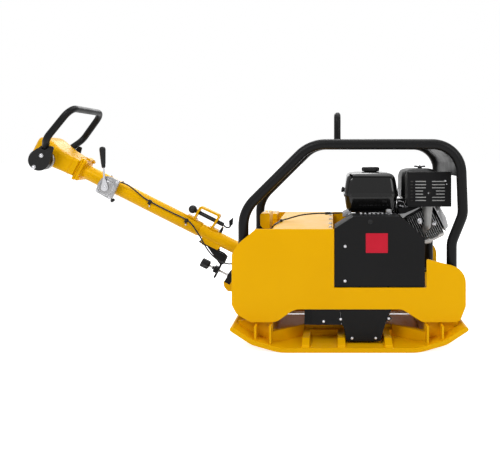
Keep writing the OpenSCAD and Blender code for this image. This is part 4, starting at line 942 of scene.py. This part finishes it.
def make_plunger():
    rod = Shape(BAR)
    rod.lathe([(8.8, 183), (9, 184.5), (9, 326), (8, 327)], (0, 0, PLUNGER_Z), (-1, 0, 0), 28)
    for x in (196, 214, 292, 304):
        rod.lathe([(9, x - 1), (9.7, x), (9.7, x + 2), (9, x + 3)], (0, 0, PLUNGER_Z), (-1, 0, 0), 28)
    ball = [(18 * math.sin(a), -18 * math.cos(a)) for a in (math.pi * k / 16 for k in range(17))]
    rod.lathe(ball, (-333, 0, PLUNGER_Z), (-1, 0, 0), 32)
    rod.piece("lock_plunger.rod", PLASTIC, "plunger", ["lock_plunger"], sharp=50)
    wire = Shape(BAR)
    wire.tube(through([(-186, 0, 66), (-180, 0, 61), (-172, 0, 59), (-163, 0, 60), (-156, 0, 66),
                       (-154, 0, 76)], 8), 3.3, 12)
    wire.piece("lock_plunger.wire", SHEET, "plunger")
    flag = Shape(BAR)
    flag.prism([(-170, 89), (-157, 67), (-148, 82), (-160, 112)], -1.5, 1.5)
    flag.piece("lock_plunger.flag", SHEET, "plunger", edge=0.5)


SCREW_Z = -123
HOUSING_FACE = -64


def make_adjuster():
    knob = Shape(BAR)
    rings = []
    for x, scale in ((-196, 0.86), (-194, 0.97), (-192, 1), (-166, 1), (-162, 0.96), (-159, 0.8), (-157, 0.55)):
        # Six lobes
        star = [(a, (17.5 + 2.4 * math.cos(6 * a)) * scale) for a in angles(60)]
        rings.append([(x, r * math.cos(a), SCREW_Z + r * math.sin(a)) for a, r in star])
    knob.skin(rings)
    knob.piece("adjuster_screw.knob", PLASTIC, "adjuster_knob", ["adjuster_screw"], sharp=50)
    thread = Shape(BAR)
    profile = []
    x = 74.0
    while x < 158:
        profile += [(4.6, x), (5.2, x + 0.7), (5.2, x + 1.1), (4.6, x + 1.8)]
        x += 2.4
    thread.lathe(profile, (0, 0, SCREW_Z), (-1, 0, 0), 20)
    thread.piece("adjuster_screw.thread", CAST_LIGHT, "adjuster_knob", slot="steel_zinc", sharp=60)
    nut = Shape(BAR)
    nut.lathe([(9, 0), (9, 5), (7.8, 6)], (-136, 0, SCREW_Z), (-1, 0, 0), 6)
    nut.piece("adjuster_arm.nut", SHEET, "drawbar")


def make_throttle():
    housing = Shape(BAR)
    cx, cz = -692, -6
    face = rounded([(cx - 32, -41), (cx + 42, -45), (cx + 39, 41), (cx - 32, 38)], [6, 8, 8, 34], 10)
    housing.prism(face, -60, -43)
    housing.prism(rounded_block(cx - 26, -30, cx + 34, 30, 5), -43, -28)
    rim = rounded([(cx - 34, -43), (cx + 44, -47), (cx + 41, 43), (cx - 34, 40)], [7, 9, 9, 35], 10)
    housing.prism(rim, HOUSING_FACE, HOUSING_FACE + 4)
    housing.piece("throttle_housing.body", CAST, "drawbar", ["throttle_housing"], edge=1.4)
    rings = Shape(BAR)
    rings.lathe([(38, 0), (38, 1.4), (35, 2.4), (33, 1.2), (30, 1), (27, 2.6), (24, 3.6), (22.5, 6),
                 (20, 6.2), (0, 6.2)], (cx + 2, HOUSING_FACE, cz), (0, -1, 0), 48)
    rings.piece("throttle_housing.rings", CAST, "drawbar")
    teeth = Shape(BAR)
    for a in angles(20):
        x, z = cx + 2 + 31.5 * math.cos(a), cz + 31.5 * math.sin(a)
        teeth.lathe([(1.6, 0), (1.6, 1.8), (1.0, 2.2)], (x, HOUSING_FACE - 1, z), (0, -1, 0), 10)
    teeth.piece("throttle_housing.detents", ZINC, "drawbar")
    screws = Shape(BAR)
    for x, z in ((cx + 34, 34), (cx + 34, -37), (cx - 26, -34)):
        screws.lathe([(7.5, 0), (7.5, 1), (7, 1.4)], (x, HOUSING_FACE, z), (0, -1, 0), 20)
        screws.bolt((x, HOUSING_FACE - 1.4, z), (0, -1, 0), 10, 5, washer=False)
    screws.piece("throttle_housing.screws", ZINC, "drawbar")
    knob = Shape(BAR)
    knob.lathe([(4, 0), (4, 6), (9, 7), (9.5, 12), (8.5, 17), (4, 18), (0, 18)], (cx + 37, -52, -42),
               (1, 0, -0.45), 20)
    knob.piece("throttle_stop_knob", PLASTIC, "drawbar")
    clamp = Shape(BAR)
    half_turn = [math.pi * (-0.5 + k / 14) for k in range(15)]
    for x in (cx - 22, cx + 34):
        clamp.tube([(x, 33.5 * math.cos(a), 33.5 * math.sin(a)) for a in half_turn], 3, 10)
    clamp.piece("throttle_u_bolts", ZINC, "drawbar")


def make_throttle_lever():
    tilt = LEVER @ Matrix.Rotation(math.radians(-3.5), 4, "Y")
    y = -75
    rod = Shape(tilt)
    rod.tube([(0, y, 12), (0, y, 160)], 4.2, 20)
    # Teardrop hub that narrows into the rod
    hub = [(16 * math.cos(a), 16 * math.sin(a)) for a in (math.radians(200 + 14 * k) for k in range(11))]
    hub += [(13, 8), (5, 34), (-5, 34), (-13, 8)]
    rod.prism(hub, y - 4, y + 4)
    rod.lathe([(8, 0), (8, 2.5), (6.8, 3.5), (3.4, 3.5), (3, 1.5), (0, 1.5)], (0, y - 4, 0), (0, -1, 0), 24)
    rod.piece("throttle_lever.rod", ZINC, "throttle", ["throttle_lever"], edge=0.7)
    grip = Shape(tilt)
    profile = [(4.4, 82), (6.6, 81.5), (7.6, 83), (8.2, 88), (9.2, 102), (10.3, 120), (11.4, 138),
               (12.2, 152), (12.5, 158), (12, 163), (10, 167.5), (6, 170), (0, 171)]
    grip.lathe(profile, (0, y, 0), sides=32)
    grip.piece("throttle_grip.shell", PLASTIC, "throttle", ["throttle_grip"], sharp=60)


LOOP_Y = 150
CLAMP_Y = 110
LOOP_R = 14


def make_loop():
    leg = [(-8, CLAMP_Y, 20), (-6, CLAMP_Y, 52), (3, LOOP_Y + 12, 100), (31, LOOP_Y, 253)]
    route = bent([(x, -y, z) for x, y, z in leg] + leg[::-1], [30, 50, 48, 48, 50, 30], 12)
    handle = Shape(LOOP).tube(route, LOOP_R, 36, up=(1, 0, 0))
    handle.piece("loop_handle.tube", BLACK, "direction_loop", ["loop_handle"], sharp=60)
    clamps, plates, screws = Shape(LOOP), Shape(LOOP), Shape(LOOP)
    y0, y1 = CLAMP_Y - LOOP_R, CLAMP_Y + LOOP_R
    hub = rounded([(-40, -40), (40, -40), (40, 10), (20, 54), (-20, 58), (-40, 10)],
                  [39, 39, 30, 6, 6, 30], 10)
    ear = rounded([(-44, -44), (44, -44), (44, 14), (31, 76), (15, 73), (6, 48), (-26, 44), (-44, 12)],
                  [43, 43, 36, 6, 6, 14, 20, 40], 10)
    for s in (-1, 1):
        clamps.prism(hub, s * y0, s * y1)
        plates.prism(ear, s * y1, s * (y1 + 6))
        for x, z in ((1, 21), (-5, -35)):
            screws.lathe([(8.6, 0), (8.6, 1), (8, 1.6)], (x, s * (y1 + 6), z), (0, s, 0), 24)
            screws.cap_screw((x, s * (y1 + 7.4), z), (0, s, 0), 7, 4.5)
        screws.cap_screw((22, s * (y1 + 1), 52), (0, s, 0), 5, 3)
    clamps.piece("loop_clamps.hubs", PLASTIC, "direction_loop", ["loop_clamps"], edge=2, segments=3)
    plates.piece("loop_clamps.plates", PLASTIC, "direction_loop", edge=1.5)
    screws.piece("loop_clamps.screws", ZINC, "direction_loop")
    drums = Shape(LOOP)
    for s in (-1, 1):
        drums.lathe([(12, 75.4), (38, 75.4), (41, 78), (41, 84), (39, 86), (39, 90), (41, 92), (41, 95.9),
                     (12, 95.9)], (0, 0, 0), (0, s, 0), 56, ring=True)
    drums.lathe([(10, -96), (10, 96)], (0, 0, 0), (0, 1, 0), 28)
    drums.piece("loop_shaft.drums", CAST, "direction_loop", ["loop_shaft"], sharp=40)


# ---- throttle cable, through the points of the CAD's own cable ----
CABLE_R = 3
CABLE_BAR = [(-649.6, -53, 37), (-634, -47, 39), (-612, -39, 37), (-575, -34.5, 28), (-540, -34, 20),
             (-505, -34, 17), (-455, -34, 16), (-392, -34, 17), (-330, -34, 18), (-296, -38, 9),
             (-270, -42, -4)]
CABLE_LOOP = [(-627, -46, 391), (-606, -50, 355), (-582, -54, 322), (-556, -58, 298), (-528, -63, 283),
              (-500, -70, 278), (-474, -76, 282), (-450, -80, 292)]
CABLE_DECK = [(-450, -80, 292), (-420, -85, 304.5), (-400, -104, 335), (-384, -146, 374), (-366, -190, 408),
              (-350, -214, 427), (-328, -217, 433), (-309, -213, 441), (-294, -195, 459), (-284, -140, 462),
              (-277, -84, 462), (-265, -56, 463), (-250, -50, 466), (-236, -55, 471), (-190, -76, 485),
              (-130, -100, 494), (-82, -112, 496), (-48, -118, 497), (-14, -120, 500)]


def make_cable():
    on_bar = Shape(BAR).tube(through(CABLE_BAR, 8), CABLE_R, 16)
    on_bar.piece("throttle_cable.bar", PLASTIC, "drawbar", ["throttle_cable"])
    start = WORLD.inverted() @ BAR @ Vector(CABLE_BAR[-1])
    between = Shape().tube(through([start] + CABLE_LOOP, 10), CABLE_R, 16)
    bridge = between.piece("throttle_cable.bridge", PLASTIC, None, ["cable_bridge"])
    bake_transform(bridge)
    on_deck = Shape().tube(through(CABLE_DECK, 8), CABLE_R, 16)
    on_deck.piece("throttle_cable.deck", PLASTIC, "machine", ["cable_deck"])
    clips, clip_screws = Shape(BAR), Shape(BAR)
    for x in (-505, -330):
        clips.lathe([(3.2, -7), (6.4, -6), (7, 0), (6.4, 6), (3.2, 7)], (x, -34, 17.5), (1, 0, 0), 20)
        clips.box(x - 6, -38, 4, x + 6, -25, 16)
        clip_screws.cap_screw((x + 6, -33, -1), (0, -1, 0), 4.5, 6)
    clips.piece("throttle_cable.bar_clips", PLASTIC, "drawbar", edge=1)
    clip_screws.piece("throttle_cable.clip_screws", ZINC, "drawbar")
    more = Shape()
    more.lathe([(3.2, -9), (6, -8), (6.4, 0), (6, 8), (3.2, 9)], (-277, -84, 462.4), (0.15, 1, 0), 20)
    more.lathe([(3.2, -11), (5.4, -10), (5.6, 0), (5.4, 10), (3.2, 11)], (-82, -112, 496),
               (1, -0.15, 0.05), 20)
    more.piece("throttle_cable.deck_clips", PLASTIC, "machine", edge=1)


for make in (make_rails, make_lifting_eye, make_guard_details, make_tank, make_tank_cap, make_air_cleaner,
             make_wing_nut, make_muffler, make_muffler_shield, make_cylinder_details, make_linkage,
             make_base_details, make_frame_details, make_starter, make_drawbar_tubes, make_control_head,
             make_saddle_and_latch, make_plunger, make_adjuster, make_throttle, make_throttle_lever,
             make_loop, make_cable):
    make()
